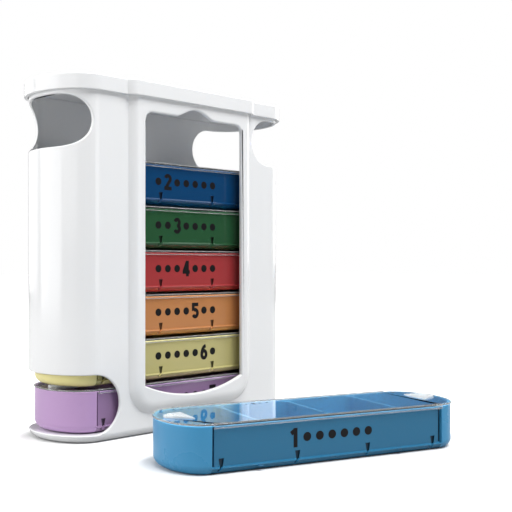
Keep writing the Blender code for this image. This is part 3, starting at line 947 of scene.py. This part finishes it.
# %% The rails
LID_THICKNESS = 0.00075
LID_REST_GAP = 0.00015
LID_RAIL_SETBACK = 0.0005
LID_BEAD_HEIGHT = 0.0002
LID_BEAD_WIDTH = 0.0014
HOOK_DROP = 0.00035
RAIL_CLEARANCE = 0.0002
RAIL_TOP_RADIUS = 0.0005
RAIL_FOOT_RADIUS = 0.0003
RAIL_ARC_STEPS = 5
lid_bottom = tray_height + LID_REST_GAP
lid_top = lid_bottom + LID_THICKNESS


def rail_outline():
    """Section of a rail, y and z: a round bead, a skirt outside the lip, a hook under it."""
    hook_inside = tray_half_width + RAIL_CLEARANCE
    skirt_inside = tray_half_width + LIP_REACH + RAIL_CLEARANCE
    hook_top = panel_top - RAIL_CLEARANCE
    hook_bottom = hook_top - HOOK_DROP
    bead_top = lid_top + LID_BEAD_HEIGHT
    bead_inside = lid_half_width - LID_BEAD_WIDTH
    foot = (lid_half_width - RAIL_FOOT_RADIUS, hook_bottom + RAIL_FOOT_RADIUS)
    shoulder = (lid_half_width - RAIL_TOP_RADIUS, bead_top - RAIL_TOP_RADIUS)
    return [
        (hook_inside, hook_bottom),
        *arc(foot, RAIL_FOOT_RADIUS, -QUARTER, 0, RAIL_ARC_STEPS),
        *arc(shoulder, RAIL_TOP_RADIUS, 0, QUARTER, RAIL_ARC_STEPS),
        (bead_inside, bead_top),
        (bead_inside, lid_bottom),
        (skirt_inside, lid_bottom),
        (skirt_inside, hook_top),
        (hook_inside, hook_top),
    ]


def rail(side):
    """The rail of one long side."""
    reach = half_straight - LID_RAIL_SETBACK
    outline = [(side * y, z) for y, z in rail_outline()]
    return slab("rail", outline, -reach, reach, FACING_SIDE)


print("lid from and to over the tray's foot, in mm:", in_mm(lid_bottom, lid_top))

# %% The thumb grips
GRIP_HEIGHT = 0.0009
GRIP_FOOT_HEIGHT = 0.0003
GRIP_LENGTH = 0.0095
GRIP_WIDTH = 0.015
GRIP_TIP_WIDTH = 0.0024
GRIP_LAND_LENGTH = 0.0035
GRIP_TIP_SETBACK = 0.0025
GRIP_ROOT = 0.0004
GRIP_RIBS = 6
GRIP_RIB_WIDTH = 0.0005
GRIP_RIB_HEIGHT = 0.0002

grip_tip = half_straight + tray_bulge - GRIP_TIP_SETBACK
grip_foot = grip_tip - GRIP_LENGTH


def grip(side):
    """An arrow-shaped wedge that points to the lid's end and is highest there."""
    half_foot = GRIP_WIDTH / 2
    half_tip = GRIP_TIP_WIDTH / 2
    half_shoulder = half_tip + (half_foot - half_tip) * GRIP_LAND_LENGTH / GRIP_LENGTH
    shoulder = grip_tip - GRIP_LAND_LENGTH
    outline = [(grip_foot, -half_foot), (shoulder, -half_shoulder), (grip_tip, -half_tip)]
    outline += [(x, -y) for x, y in reversed(outline)]
    wedge = slab("grip", turned(side, outline), lid_top - GRIP_ROOT, lid_top + GRIP_HEIGHT)
    for vertex in wedge.data.vertices:
        if vertex.co.z > lid_top and abs(vertex.co.x) < grip_foot + MERGE_DISTANCE:
            vertex.co.z = lid_top + GRIP_FOOT_HEIGHT
    return wedge


def grip_ribs(side):
    """Fine ribs across a grip, which follow its slope."""
    ribs = []
    for i in range(GRIP_RIBS):
        share = (i + 0.5) / GRIP_RIBS
        x = grip_foot + share * GRIP_LENGTH
        half = (GRIP_WIDTH + (GRIP_TIP_WIDTH - GRIP_WIDTH) * share) / 2 - GRIP_RIB_WIDTH
        slope_share = min(1.0, share * GRIP_LENGTH / (GRIP_LENGTH - GRIP_LAND_LENGTH))
        top = lid_top + GRIP_FOOT_HEIGHT + (GRIP_HEIGHT - GRIP_FOOT_HEIGHT) * slope_share
        outline = rectangle(x - GRIP_RIB_WIDTH / 2, x + GRIP_RIB_WIDTH / 2, -half, half)
        ribs.append(slab("rib", turned(side, outline), lid_top, top + GRIP_RIB_HEIGHT))
    return ribs


print("ribs on each grip:", GRIP_RIBS)

# %% Mould one lid
LID_END_OVERHANG = 0.0004
LID_RIM_RADIUS = 0.0003
LID_RIM_STEP = 0.0025
LID_FINE_SHARE = 0.4
LID_EDGE_SEGMENTS = 4
FLAT_COSINE = 0.999


def lid_edge(edge):
    """How much an edge of the lid is softened: the round ends' rims most."""
    if not is_rim(edge):
        return 0.0
    at_end = all(abs(v.co.x) > half_straight - MERGE_DISTANCE for v in edge.verts)
    on_plate = all(v.co.z < lid_top + MERGE_DISTANCE for v in edge.verts)
    on_rim = at_end and on_plate and edge.calc_length() < LID_RIM_STEP
    return 1.0 if on_rim else LID_FINE_SHARE


def lid_finish(face):
    """Flat faces have the first finish, edges the second and grips the third."""
    x, y, z = face.center
    over_grip = abs(x) > grip_foot - MERGE_DISTANCE and abs(y) < GRIP_WIDTH / 2
    if over_grip and z > lid_top + MERGE_DISTANCE:
        return THIRD_FINISH
    is_flat = max(abs(face.normal.z), abs(face.normal.y)) >= FLAT_COSINE
    return FIRST_FINISH if is_flat else SECOND_FINISH


def mould_lid():
    """The lid that all seven copies share, over a tray that stands on Z 0."""
    half_plate = tray_half_width + LID_END_OVERHANG
    plate = block("lid_plate", lid_bulge, half_plate, lid_bottom, lid_top)
    rails = [rail(side) for side in SIDES]
    grips = [grip(side) for side in SIDES]
    ribs = [rib for side in SIDES for rib in grip_ribs(side)]
    lid = cut_all(plate, "lid_joined", joins=(*rails, *grips, *ribs))
    print("edges softened on the lid:", mark_edges(lid, lid_edge))
    lid = smooth(round_marked(lid, LID_RIM_RADIUS, LID_EDGE_SEGMENTS, "lid_mould"))
    sort_faces(lid, lid_finish)
    return lid


lid_mould = mould_lid()
print("one lid:", len(lid_mould.data.polygons), "faces")

# %% [markdown]
# ## Seven copies in their places
#
# Each tray and each lid is copied from its mould and moved inside its mesh, so that every
# object stays at the origin. The places are read from the model's boxes. The loose tray is
# turned a little, as it stands on the table.

# %% Place the trays and lids
LOOSE_TRAY_TURN = math.radians(-18.3)
TRAYS = 7
TRAY_NUMBERS = range(1, TRAYS + 1)
BODY_OF_TRAY = {1: "loose_tray", 7: "lowest_tray"}
BODY_OF_LID = {1: "loose_lid", 7: "lowest_lid"}


def tray_body(number):
    """The body that a tray and its label ride on."""
    return BODY_OF_TRAY.get(number, f"stacked_tray_{number}")


def lid_body(number):
    """The body that a lid and its print ride on: only two lids slide by themselves."""
    return BODY_OF_LID.get(number, f"stacked_tray_{number}")


def place_of(number):
    """The move that takes a mould to the place of one tray."""
    low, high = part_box(f"tray_{number}")
    middle = (low + high) / 2
    turn = LOOSE_TRAY_TURN if number == 1 else 0.0
    return Matrix.Translation((middle.x, middle.y, low.z)) @ Matrix.Rotation(turn, 4, "Z")


def copy_in_place(mould, name, number):
    """A copy of a moulded piece in the place of one tray."""
    mesh = mould.data.copy()
    mesh.transform(place_of(number))
    return in_scene(name, mesh)


trays = {}
lids = {}
for number in TRAY_NUMBERS:
    trays[number] = copy_in_place(tray_mould, f"day_tray_{number}", number)
    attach(trays[number], tray_body(number))
    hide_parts(f"tray_{number}")
    lids[number] = copy_in_place(lid_mould, f"clear_lid_{number}", number)
    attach(lids[number], lid_body(number))
    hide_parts(f"lid_{number}")
discard(tray_mould, lid_mould)
print("placed", len(trays), "trays and", len(lids), "lids")

# %% [markdown]
# ## Plain labels
#
# The front panel of each tray carries a printed row that says which day it is. The row has
# seven places, one for each day of the week. The tray's own place shows its number in bold,
# and the other places show a dot. A row repeats by a rule, so Geometry Nodes lay it out: a
# line of seven points, a dot on each point but one, and the number on that one.

# %% Build the tree of the label row
DOT_STEPS = 20


def label_row_tree():
    """Geometry Nodes: places in a row, with a number in one and a dot in the others."""
    tree, given = new_shape_tree("label_row", {
        "Places": "Int",
        "Pitch": "Float",
        "Numbered Place": "Int",
        "Dot Radius": "Float",
        "Ink Thickness": "Float",
        "Number": "Object",
    })
    reach = maths(tree, "MULTIPLY", maths(tree, "SUBTRACT", given["Places"], 1.0), given["Pitch"])
    start = add_node(tree, "ShaderNodeCombineXYZ", {"X": maths(tree, "MULTIPLY", reach, -0.5)})
    step = add_node(tree, "ShaderNodeCombineXYZ", {"X": given["Pitch"]})
    row = add_node(tree, "GeometryNodeMeshLine", {
        "Count": given["Places"],
        "Start Location": start.outputs["Vector"],
        "Offset": step.outputs["Vector"],
    }, mode="OFFSET")
    disc = add_node(tree, "GeometryNodeMeshCylinder", {
        "Vertices": DOT_STEPS,
        "Radius": given["Dot Radius"],
        "Depth": given["Ink Thickness"],
    }, fill_type="NGON").outputs["Mesh"]
    digit = add_node(tree, "GeometryNodeObjectInfo", {"Object": given["Number"]}).outputs["Geometry"]
    index = add_node(tree, "GeometryNodeInputIndex").outputs[0]
    away = maths(tree, "ABSOLUTE", maths(tree, "SUBTRACT", index, given["Numbered Place"]))
    prints = []
    for shape, comparison in ((disc, "GREATER_THAN"), (digit, "LESS_THAN")):
        copies = add_node(tree, "GeometryNodeInstanceOnPoints", {
            "Points": row.outputs["Mesh"],
            "Selection": maths(tree, comparison, away, 0.5),
            "Instance": shape,
        })
        prints.append(copies.outputs["Instances"])
    end_tree(tree, join_shapes(tree, *prints), given["Material"])
    return tree


label_tree = label_row_tree()
print("inputs of the label row:", list(sockets(label_tree, "INPUT")))

# %% [markdown]
# A digit is a few brush strokes: straight lines and pieces of ovals, all with one width. A
# stroke is drawn by its middle line, and the outline runs along both sides of it. The strokes
# are thin slabs of ink that are joined into one. So the digits are shapes, not a font.

# %% Draw the digits
DIGIT_STROKE = 0.115
DIGIT_ARC_STEPS = 12
INK_THICKNESS = 0.00006


def bow(centre, reach_x, reach_y, start, end):
    """Points on a piece of an oval, from one angle in degrees to another."""
    angles = (math.radians(start), math.radians(end))
    return oval_arc(centre, (reach_x, reach_y), *angles, DIGIT_ARC_STEPS)


DIGIT_STROKES = {
    1: [[(0.06, 0.5), (0.06, -0.5)], [(-0.2, 0.22), (0.06, 0.4)]],
    2: [bow((0, 0.2), 0.195, 0.195, 165, -25) + [(-0.17, -0.4)], [(-0.29, -0.395), (0.3, -0.395)]],
    3: [bow((0, 0.19), 0.185, 0.205, 160, -90), bow((0, -0.195), 0.2, 0.2, 90, -160)],
    4: [[(0.1, 0.5), (0.1, -0.5)], [(-0.3, -0.22), (0.3, -0.22)], [(0.08, 0.455), (-0.2, -0.2)]],
    5: [
        [(-0.27, 0.395), (0.27, 0.395)],
        [(-0.165, 0.5), (-0.165, -0.02)],
        bow((0, -0.17), 0.195, 0.225, 125, -155),
    ],
    6: [
        bow((0, -0.165), 0.195, 0.23, 185, -5),
        bow((0, -0.165), 0.195, 0.23, 175, 365),
        bow((0.2, -0.165), 0.395, 0.56, 180, 97),
    ],
    7: [[(-0.28, 0.395), (0.28, 0.395)], [(0.17, 0.42), (-0.08, -0.5)]],
}


def stroke_outline(line, size):
    """The outline of one stroke: a line with a width, in the order of its points."""
    points = [Vector(point) * size for point in line]
    sides = ([], [])
    for i, point in enumerate(points):
        before = (point - points[i - 1]).normalized() if i else (points[1] - point).normalized()
        after = (points[i + 1] - point).normalized() if i < len(points) - 1 else before
        middle = (before + after).normalized()
        across = Vector((-middle.y, middle.x)) * DIGIT_STROKE * size / middle.dot(after)
        sides[0].append(point + across)
        sides[1].append(point - across)
    return [tuple(point) for point in sides[0] + sides[1][::-1]]


def bold_digit(number, size):
    """One plain digit as a thin solid of ink, centred on the origin."""
    half = INK_THICKNESS / 2
    outlines = [stroke_outline(line, size) for line in DIGIT_STROKES[number]]
    strokes = [slab("stroke", outline, -half, half) for outline in outlines]
    return cut_all(strokes[0], f"digit_{number}", joins=strokes[1:])


print("digits drawn by strokes:", sorted(DIGIT_STROKES))

# %% Print a label on each tray
LABEL_PITCH = 0.0056
LABEL_DOT_RADIUS = 0.00175
LABEL_DIGIT_HEIGHT = 0.0074
LABEL_LEVEL = 0.0107
LABEL_SHIFT = -0.0006
INK_SINK = 0.00002
ink_level = INK_THICKNESS / 2 - INK_SINK


def printed_row(name, number, places, pitch, dot_radius, digit_height):
    """A row of dots with one number, lying flat round the origin."""
    digit = bold_digit(number, digit_height)
    row = run_tree(name, label_tree, {
        "Places": places,
        "Pitch": pitch,
        "Numbered Place": number - 1,
        "Dot Radius": dot_radius,
        "Ink Thickness": INK_THICKNESS,
        "Number": digit,
    })
    discard(digit)
    return row


def print_label(number):
    """The label of one tray, on its front panel."""
    sizes = (LABEL_PITCH, LABEL_DOT_RADIUS, LABEL_DIGIT_HEIGHT)
    label = printed_row(f"label_{number}", number, TRAYS, *sizes)
    stand_up = Matrix.Rotation(QUARTER, 4, "X")
    on_panel = Matrix.Translation((LABEL_SHIFT, -panel_half_width - ink_level, LABEL_LEVEL))
    label.data.transform(place_of(number) @ on_panel @ stand_up)
    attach(label, tray_body(number))
    return label


labels = [print_label(number) for number in TRAY_NUMBERS]
print("labels printed:", len(labels))

# %% [markdown]
# Each lid has a small row over every compartment, close to its rear edge, that says which
# time of the day the compartment is for. The same tree makes it, with four places. All lids
# carry the same print, so it is made once and copied as the lids are.

# %% Print the small rows on the lids
LID_ROW_PITCH = 0.0032
LID_ROW_DOT_RADIUS = 0.0006
LID_ROW_DIGIT_HEIGHT = 0.0028
LID_ROW_FROM_MIDDLE = 0.0152


def lid_rows():
    """The four small rows of a lid, joined into one print."""
    shape = bmesh.new()
    for i in range(COMPARTMENTS):
        sizes = (LID_ROW_PITCH, LID_ROW_DOT_RADIUS, LID_ROW_DIGIT_HEIGHT)
        row = printed_row("row", i + 1, COMPARTMENTS, *sizes)
        place = (compartment_middle(i), LID_ROW_FROM_MIDDLE, lid_top + ink_level)
        row.data.transform(Matrix.Translation(place))
        shape.from_mesh(row.data)
        discard(row)
    return from_bmesh("lid_print", shape)


print_mould = lid_rows()
lid_prints = []
for number in TRAY_NUMBERS:
    rows = copy_in_place(print_mould, f"lid_print_{number}", number)
    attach(rows, lid_body(number))
    lid_prints.append(rows)
discard(print_mould)
print("lids printed:", len(lid_prints))

# %% [markdown]
# ## One skin for all the moulded plastic
#
# Moulded plastic is never quite even. The melt leaves slow changes of tone, the mould's polish
# leaves patches that are a little glossier, and the surface has a fine ripple. One shader
# group makes all three from Object coordinates. It gives out only what changes over the
# surface, and every plastic on the object uses it with its own values.

# %% Build the moulded skin
FLOW_DETAIL = 3.0
POLISH_DETAIL = 5.0
POLISH_TO_FLOW = 2.7
POLISH_RANGE = (0.3, 0.7)
RIPPLE_DETAIL = 2.0


def moulded_skin_group():
    """Shader group: a tone that drifts, a roughness that varies and a fine ripple."""
    tree = bpy.data.node_groups.new("moulded_skin", "ShaderNodeTree")
    name_sockets(tree, "INPUT", {
        "Colour": "Color",
        "Flow Colour": "Color",
        "Flow Scale": "Float",
        "Smoothest": "Float",
        "Roughest": "Float",
        "Ripple Scale": "Float",
    })
    name_sockets(tree, "OUTPUT", {"Colour": "Color", "Roughness": "Float", "Ripple": "Float"})
    given = add_node(tree, "NodeGroupInput").outputs
    place = add_node(tree, "ShaderNodeTexCoord").outputs["Object"]

    def noise(scale, detail):
        """Noise over the piece's own coordinates."""
        values = {"Vector": place, "Scale": scale, "Detail": detail}
        return add_node(tree, "ShaderNodeTexNoise", values, noise_dimensions="3D").outputs["Fac"]

    tone = add_node(tree, "ShaderNodeMix", data_type="RGBA")
    flow = noise(given["Flow Scale"], FLOW_DETAIL)
    feed(tree, tone, {"Factor": flow, "A": given["Colour"], "B": given["Flow Colour"]})
    spread = add_node(tree, "ShaderNodeMapRange", {
        "Value": noise(maths(tree, "MULTIPLY", given["Flow Scale"], POLISH_TO_FLOW), POLISH_DETAIL),
        "From Min": POLISH_RANGE[0],
        "From Max": POLISH_RANGE[1],
        "To Min": given["Smoothest"],
        "To Max": given["Roughest"],
    })
    feed(tree, add_node(tree, "NodeGroupOutput"), {
        "Colour": tone.outputs["Result"],
        "Roughness": spread.outputs["Result"],
        "Ripple": noise(given["Ripple Scale"], RIPPLE_DETAIL),
    })
    return tree


moulded_skin = moulded_skin_group()
print("the skin gives out:", list(sockets(moulded_skin, "OUTPUT")))

# %% A material for opaque mouldings
FLOW_SCALE = 18.0
RIPPLE_SCALE = 260.0
RIPPLE_STRENGTH = 0.25
RIPPLE_DEPTH = 0.0001
PLASTIC_IOR = 1.5


def new_material(name):
    """A new material, its tree and its main shader."""
    material = bpy.data.materials.new(name)
    material.use_nodes = True
    return material, material.node_tree, material.node_tree.nodes["Principled BSDF"]


def skin_in(tree, colour, flow_colour, smoothest, roughest, ripple_depth):
    """Places the moulded skin in a material. Returns its outputs and the ripple's normal."""
    skin = add_node(tree, "ShaderNodeGroup", node_tree=moulded_skin)
    feed(tree, skin, {
        "Colour": (*colour, 1.0),
        "Flow Colour": (*flow_colour, 1.0),
        "Flow Scale": FLOW_SCALE,
        "Smoothest": smoothest,
        "Roughest": roughest,
        "Ripple Scale": RIPPLE_SCALE,
    })
    bump = add_node(tree, "ShaderNodeBump", {
        "Height": skin.outputs["Ripple"],
        "Strength": RIPPLE_STRENGTH,
        "Distance": ripple_depth,
    })
    return skin.outputs, bump.outputs["Normal"]


def opaque_moulding(name, colour, flow_colour, smoothest, roughest, gloss):
    """A moulded plastic that no light passes through."""
    material, tree, shader = new_material(name)
    skin, normal = skin_in(tree, colour, flow_colour, smoothest, roughest, RIPPLE_DEPTH)
    feed(tree, shader, {
        "Base Color": skin["Colour"],
        "Roughness": skin["Roughness"],
        "Normal": normal,
        "IOR": PLASTIC_IOR,
        "Specular IOR Level": gloss,
    })
    return material


print("opaque mouldings share the skin", moulded_skin.name)

# %% [markdown]
# Each colour is a pair: the plastic's own tone, and a second one close to it that the skin
# drifts to. Each finish says how smooth and how rough it gets, and how strongly it shines. A
# tray needs three finishes: its round ends, its grooves and its long sides. The grooves carry
# painted shade, the tray's colour at 0.12. The glossy long sides mirror the dark room, and they
# also carry painted shade, the colour at 0.6, so they look deeper in colour than the ends.

# %% Paint the housing, the cap and the trays
WHITE = ((0.88, 0.885, 0.89), (0.86, 0.87, 0.88))
TRAY_COLOURS = {
    1: ((0.045, 0.285, 0.530), (0.041, 0.265, 0.500)),
    2: ((0.008, 0.090, 0.260), (0.007, 0.082, 0.240)),
    3: ((0.038, 0.150, 0.062), (0.034, 0.138, 0.056)),
    4: ((0.620, 0.075, 0.080), (0.590, 0.068, 0.072)),
    5: ((0.860, 0.370, 0.130), (0.830, 0.340, 0.120)),
    6: ((0.860, 0.780, 0.340), (0.830, 0.750, 0.315)),
    7: ((0.530, 0.335, 0.600), (0.505, 0.317, 0.575)),
}
# Smoothest, roughest and gloss. A tray's finish starts with its share of the tray's colour; a share
# under one is painted shade.
HOUSING_FINISH = (0.10, 0.17, 0.5)
CAP_FINISH = (0.12, 0.19, 0.5)
TRAY_SHADES_AND_FINISHES = {
    "ends": (1.0, (0.25, 0.35, 0.5)),
    # The grooves' share paints the shade in the slots and marks.
    "grooves": (0.12, (0.25, 0.4, 0.3)),
    # The long sides' share is painted shade that darkens them beside the ends.
    "sides": (0.6, (0.04, 0.07, 0.3)),
}


def dress(piece, *materials):
    """Gives a piece its materials, in the order of its slots."""
    slots = [face.material_index for face in piece.data.polygons]
    piece.data.materials.clear()
    for material in materials:
        piece.data.materials.append(material)
    piece.data.polygons.foreach_set("material_index", slots)


def tray_plastics(number):
    """The three finishes of one tray, each in its share of the tray's colour."""
    plastics = []
    for part, (share, finish) in TRAY_SHADES_AND_FINISHES.items():
        # A share under one gives a darker copy of the colour: painted shade.
        tones = [[channel * share for channel in tone] for tone in TRAY_COLOURS[number]]
        plastics.append(opaque_moulding(f"tray_{part}_{number}", *tones, *finish))
    return plastics


dress(housing, opaque_moulding("white_housing_plastic", *WHITE, *HOUSING_FINISH))
dress(cap, opaque_moulding("white_cap_plastic", *WHITE, *CAP_FINISH))
for number, tray in trays.items():
    dress(tray, *tray_plastics(number))
print("trays painted:", len(trays))

# %% [markdown]
# ## Clear plastic and ink
#
# The lids are clear plastic: the plate is fully clear with a high polish and a slight ripple,
# the edges are a little milky, and the grips are rough. A quarter of a plain refraction shader
# is mixed in, which weakens the mirror image. Clear plastic throws a faint shadow, which a path
# tracer finds only slowly, so the material lets shadow rays pass by mixing in a transparent
# shader for them alone. The ink of the labels is black and a little rough, with the fine
# unevenness of a print.

# %% The clear lids
LID_IOR = 1.55
UNMIRRORED_SHARE = 0.25
SHADOW_PASS = 0.93
LID_RIPPLE_SHARE = 0.25
CLEAR = (0.97, 0.985, 0.985)
# Smoothest, roughest and clearness.
LID_FINISHES = {"plate": (0.0, 0.02, 1.0), "edges": (0.02, 0.06, 0.7), "grips": (0.2, 0.3, 0.3)}


def mix_shaders(tree, share, first, second):
    """Mixes two shaders. The share is that of the second one."""
    parts = {0: share, 1: first.outputs[0], 2: second.outputs[0]}
    return add_node(tree, "ShaderNodeMixShader", parts)


def clear_plastic(name, smoothest, roughest, clearness):
    """Clear moulded plastic whose shadow is faint."""
    material, tree, shader = new_material(name)
    depth = RIPPLE_DEPTH * LID_RIPPLE_SHARE
    skin, normal = skin_in(tree, CLEAR, CLEAR, smoothest, roughest, depth)
    optics = {"Roughness": skin["Roughness"], "IOR": LID_IOR}
    feed(tree, shader, optics)
    feed(tree, shader, {
        "Normal": normal,
        "Base Color": (*CLEAR, 1.0),
        "Transmission Weight": clearness,
    })
    unmirrored = add_node(tree, "ShaderNodeBsdfRefraction", {"Color": (*CLEAR, 1.0), **optics})
    plastic = mix_shaders(tree, UNMIRRORED_SHARE, shader, unmirrored)
    path = add_node(tree, "ShaderNodeLightPath")
    shadow_share = maths(tree, "MULTIPLY", path.outputs["Is Shadow Ray"], SHADOW_PASS)
    nothing = add_node(tree, "ShaderNodeBsdfTransparent")
    result = mix_shaders(tree, shadow_share, plastic, nothing)
    feed(tree, tree.nodes["Material Output"], {"Surface": result.outputs["Shader"]})
    return material


for number, lid in lids.items():
    finishes = [clear_plastic(f"lid_{part}_{number}", *LID_FINISHES[part]) for part in LID_FINISHES]
    dress(lid, *finishes)
print("clear lids:", len(lids))

# %% The ink
INK = ((0.006, 0.006, 0.007), (0.010, 0.010, 0.011))
INK_FINISH = (0.30, 0.42, 0.15)
ink = opaque_moulding("label_ink", *INK, *INK_FINISH)
for print_on_it in (*labels, *lid_prints):
    dress(print_on_it, ink)
print("labels share", ink.name)

# %% [markdown]
# ## The studio
#
# A white product stands on a white table in a white room. The world shows white to the camera
# and through the lids. In reflections it shows a dark grey, because the real lids and trays
# mirror the dark part of a studio. It lights the object only a little, and large soft lamps
# do the rest: the strongest hangs in front and above, and weaker ones stand at the sides, at
# the back and low in front.

# %% The world
AMBIENT = 0.03
REFLECTED_WHITE = 0.12
FULL_WHITE = (1.0, 1.0, 1.0, 1.0)


def seen_by_the_eye(tree):
    """1 for rays that come straight from the camera or through a lid, and 0 for all others."""
    path = add_node(tree, "ShaderNodeLightPath")
    return maths(tree, "MAXIMUM", path.outputs["Is Camera Ray"], path.outputs["Is Transmission Ray"])


def white_for_the_eye(tree, otherwise):
    """White for what the eye sees, less white in reflections, and the given level for the rest."""
    path = add_node(tree, "ShaderNodeLightPath")
    reflected = maths(tree, "GREATER_THAN", path.outputs["Glossy Depth"], 0.5)
    level = otherwise
    for is_ray, its_level in ((seen_by_the_eye(tree), 1.0), (reflected, REFLECTED_WHITE)):
        step = add_node(tree, "ShaderNodeMix", data_type="FLOAT")
        feed(tree, step, {"Factor": is_ray, "A": level, "B": its_level})
        level = step.outputs["Result"]
    return level


def white_world():
    """White to the eye, and a dimmer soft light to the object."""
    world = bpy.data.worlds.new("white_room")
    scene.world = world
    world.use_nodes = True
    tree = world.node_tree
    light = {"Color": FULL_WHITE, "Strength": white_for_the_eye(tree, AMBIENT)}
    feed(tree, tree.nodes["Background"], light)


white_world()
print("ambient level:", AMBIENT)

# %% The lamps
OBJECT_MIDDLE = Vector((0.0, -0.03, 0.07))
# Place, size in metres and power in watts.
LAMPS = {
    "left_lamp": ((-1.05, -0.25, 0.5), 0.8, 2.3),
    "left_back_lamp": ((-0.9, 0.5, 0.4), 0.9, 8.0),
    "back_lamp": ((-0.2, 1.2, 0.5), 1.0, 5.0),
    "right_lamp": ((1.2, 0.1, 0.5), 0.9, 6.0),
    "right_front_lamp": ((0.95, -0.75, 0.95), 0.4, 4.0),
    "top_front_lamp": ((0.0, -0.7, 1.2), 0.7, 15.5),
    "low_front_lamp": ((0.25, -1.1, 0.15), 0.4, 1.0),
    "top_lamp": ((0.1, -0.1, 1.3), 0.8, 6.0),
}


def soft_lamp(name, place, size, power):
    """A square soft lamp that points at the object."""
    data = bpy.data.lights.new(name, "AREA")
    data.size = size
    data.energy = power
    aim(in_scene(name, data), place, OBJECT_MIDDLE - Vector(place))


for name, (place, size, power) in LAMPS.items():
    soft_lamp(name, place, size, power)
print("lamps:", list(LAMPS))

# %% [markdown]
# The table is white to the eye, with a glow that only the eye sees. The glow fades out over the
# last centimetre before a foot, which paints a soft shadow round the object on top of its real
# shadow. For the light that it throws back at the object, the table is a darker grey.

# %% Where the table glows
CONTACT_GLOW = 0.0
FAR_GLOW = 1.0
PAINTED_SHADOW_REACH = 0.012
PAINTED_SHADE_THROUGH_LID = 0.5
STAND_RADIUS = 0.019


def distance_to_stand(tree, place, middle, turn):
    """How far a point of the table lies from the round-ended foot of the tower or a tray."""
    local = add_node(tree, "ShaderNodeMapping", vector_type="TEXTURE")
    feed(tree, local, {"Vector": place, "Location": middle, "Rotation": (0.0, 0.0, turn)})
    parts = add_node(tree, "ShaderNodeSeparateXYZ", {"Vector": local.outputs["Vector"]})
    past_end = maths(tree, "SUBTRACT", maths(tree, "ABSOLUTE", parts.outputs["X"]), half_straight)
    reaches = (maths(tree, "MAXIMUM", past_end, 0.0), parts.outputs["Y"])
    squares = [maths(tree, "MULTIPLY", reach, reach) for reach in reaches]
    from_spine = maths(tree, "SQRT", maths(tree, "ADD", *squares))
    return maths(tree, "SUBTRACT", from_spine, STAND_RADIUS)


def table_glow(tree):
    """How much white the eye sees over the table's own light: none where something stands, so its
    fade paints a soft shadow round each foot.

    Seen through a lid, half of it is taken away, a painted shade, so that a lid that lies on the
    table shows.
    """
    place = add_node(tree, "ShaderNodeTexCoord").outputs["Object"]
    loose = place_of(1)
    to_tower = distance_to_stand(tree, place, (0.0, 0.0, 0.0), 0.0)
    flat_middle = (*loose.translation.xy, 0.0)
    to_tray = distance_to_stand(tree, place, flat_middle, loose.to_euler().z)
    # Painted shadow: the glow fades to nothing within this reach of a foot.
    painted_shadow_fade = add_node(tree, "ShaderNodeMapRange", interpolation_type="SMOOTHSTEP")
    feed(tree, painted_shadow_fade, {
        "Value": maths(tree, "MINIMUM", to_tower, to_tray),
        "From Min": 0.0,
        "From Max": PAINTED_SHADOW_REACH,
        "To Min": CONTACT_GLOW,
        "To Max": FAR_GLOW,
    })
    # Painted shade: the table seen through a lid is dimmer.
    through_lid = add_node(tree, "ShaderNodeLightPath").outputs["Is Transmission Ray"]
    kept = maths(tree, "SUBTRACT", 1.0, maths(tree, "MULTIPLY", through_lid, PAINTED_SHADE_THROUGH_LID))
    seen = maths(tree, "MULTIPLY", white_for_the_eye(tree, 0.0), kept)
    return maths(tree, "MULTIPLY", seen, painted_shadow_fade.outputs["Result"])


print("the glow fades over the last", in_mm(PAINTED_SHADOW_REACH)[0], "mm")

# %% The table
TABLE_HALF_SIZE = 6.0
TABLE_TONE = 0.86
TABLE_BOUNCE = 0.42
TABLE_ROUGHNESS = 0.6
TABLE_GLOSS = 0.2


def white_table():
    """A plain pale floor that reads white to the camera and keeps the shadow, with a painted shadow
    from its glow's fade.
    """
    reach = TABLE_HALF_SIZE
    mesh = bpy.data.meshes.new("table")
    points = [(x, y, 0.0) for x, y in rectangle(-reach, reach, -reach, reach)]
    mesh.from_pydata(points, [], [(0, 1, 2, 3)])
    table = in_scene("table", mesh)
    material, tree, shader = new_material("table_top")
    tone = add_node(tree, "ShaderNodeMix", data_type="RGBA")
    feed(tree, tone, {
        "Factor": seen_by_the_eye(tree),
        "A": (TABLE_BOUNCE, TABLE_BOUNCE, TABLE_BOUNCE, 1.0),
        "B": (TABLE_TONE, TABLE_TONE, TABLE_TONE, 1.0),
    })
    feed(tree, shader, {
        "Base Color": tone.outputs["Result"],
        "Roughness": TABLE_ROUGHNESS,
        "Specular IOR Level": TABLE_GLOSS,
        "Emission Color": FULL_WHITE,
        "Emission Strength": table_glow(tree),
    })
    dress(table, material)
    table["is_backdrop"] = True


white_table()
print("table reaches", TABLE_HALF_SIZE, "m each way")

# %% [markdown]
# ## The two boxes
#
# The finished pieces must not stand out of the model's box, so both boxes are printed side by
# side.

# %% Print the boxes of the model and of the pieces
visual_box = [list(corner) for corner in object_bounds()]
for cad_corner, visual_corner in zip(cad_box, visual_box):
    print("model", in_mm(*cad_corner), "seen", in_mm(*visual_corner))
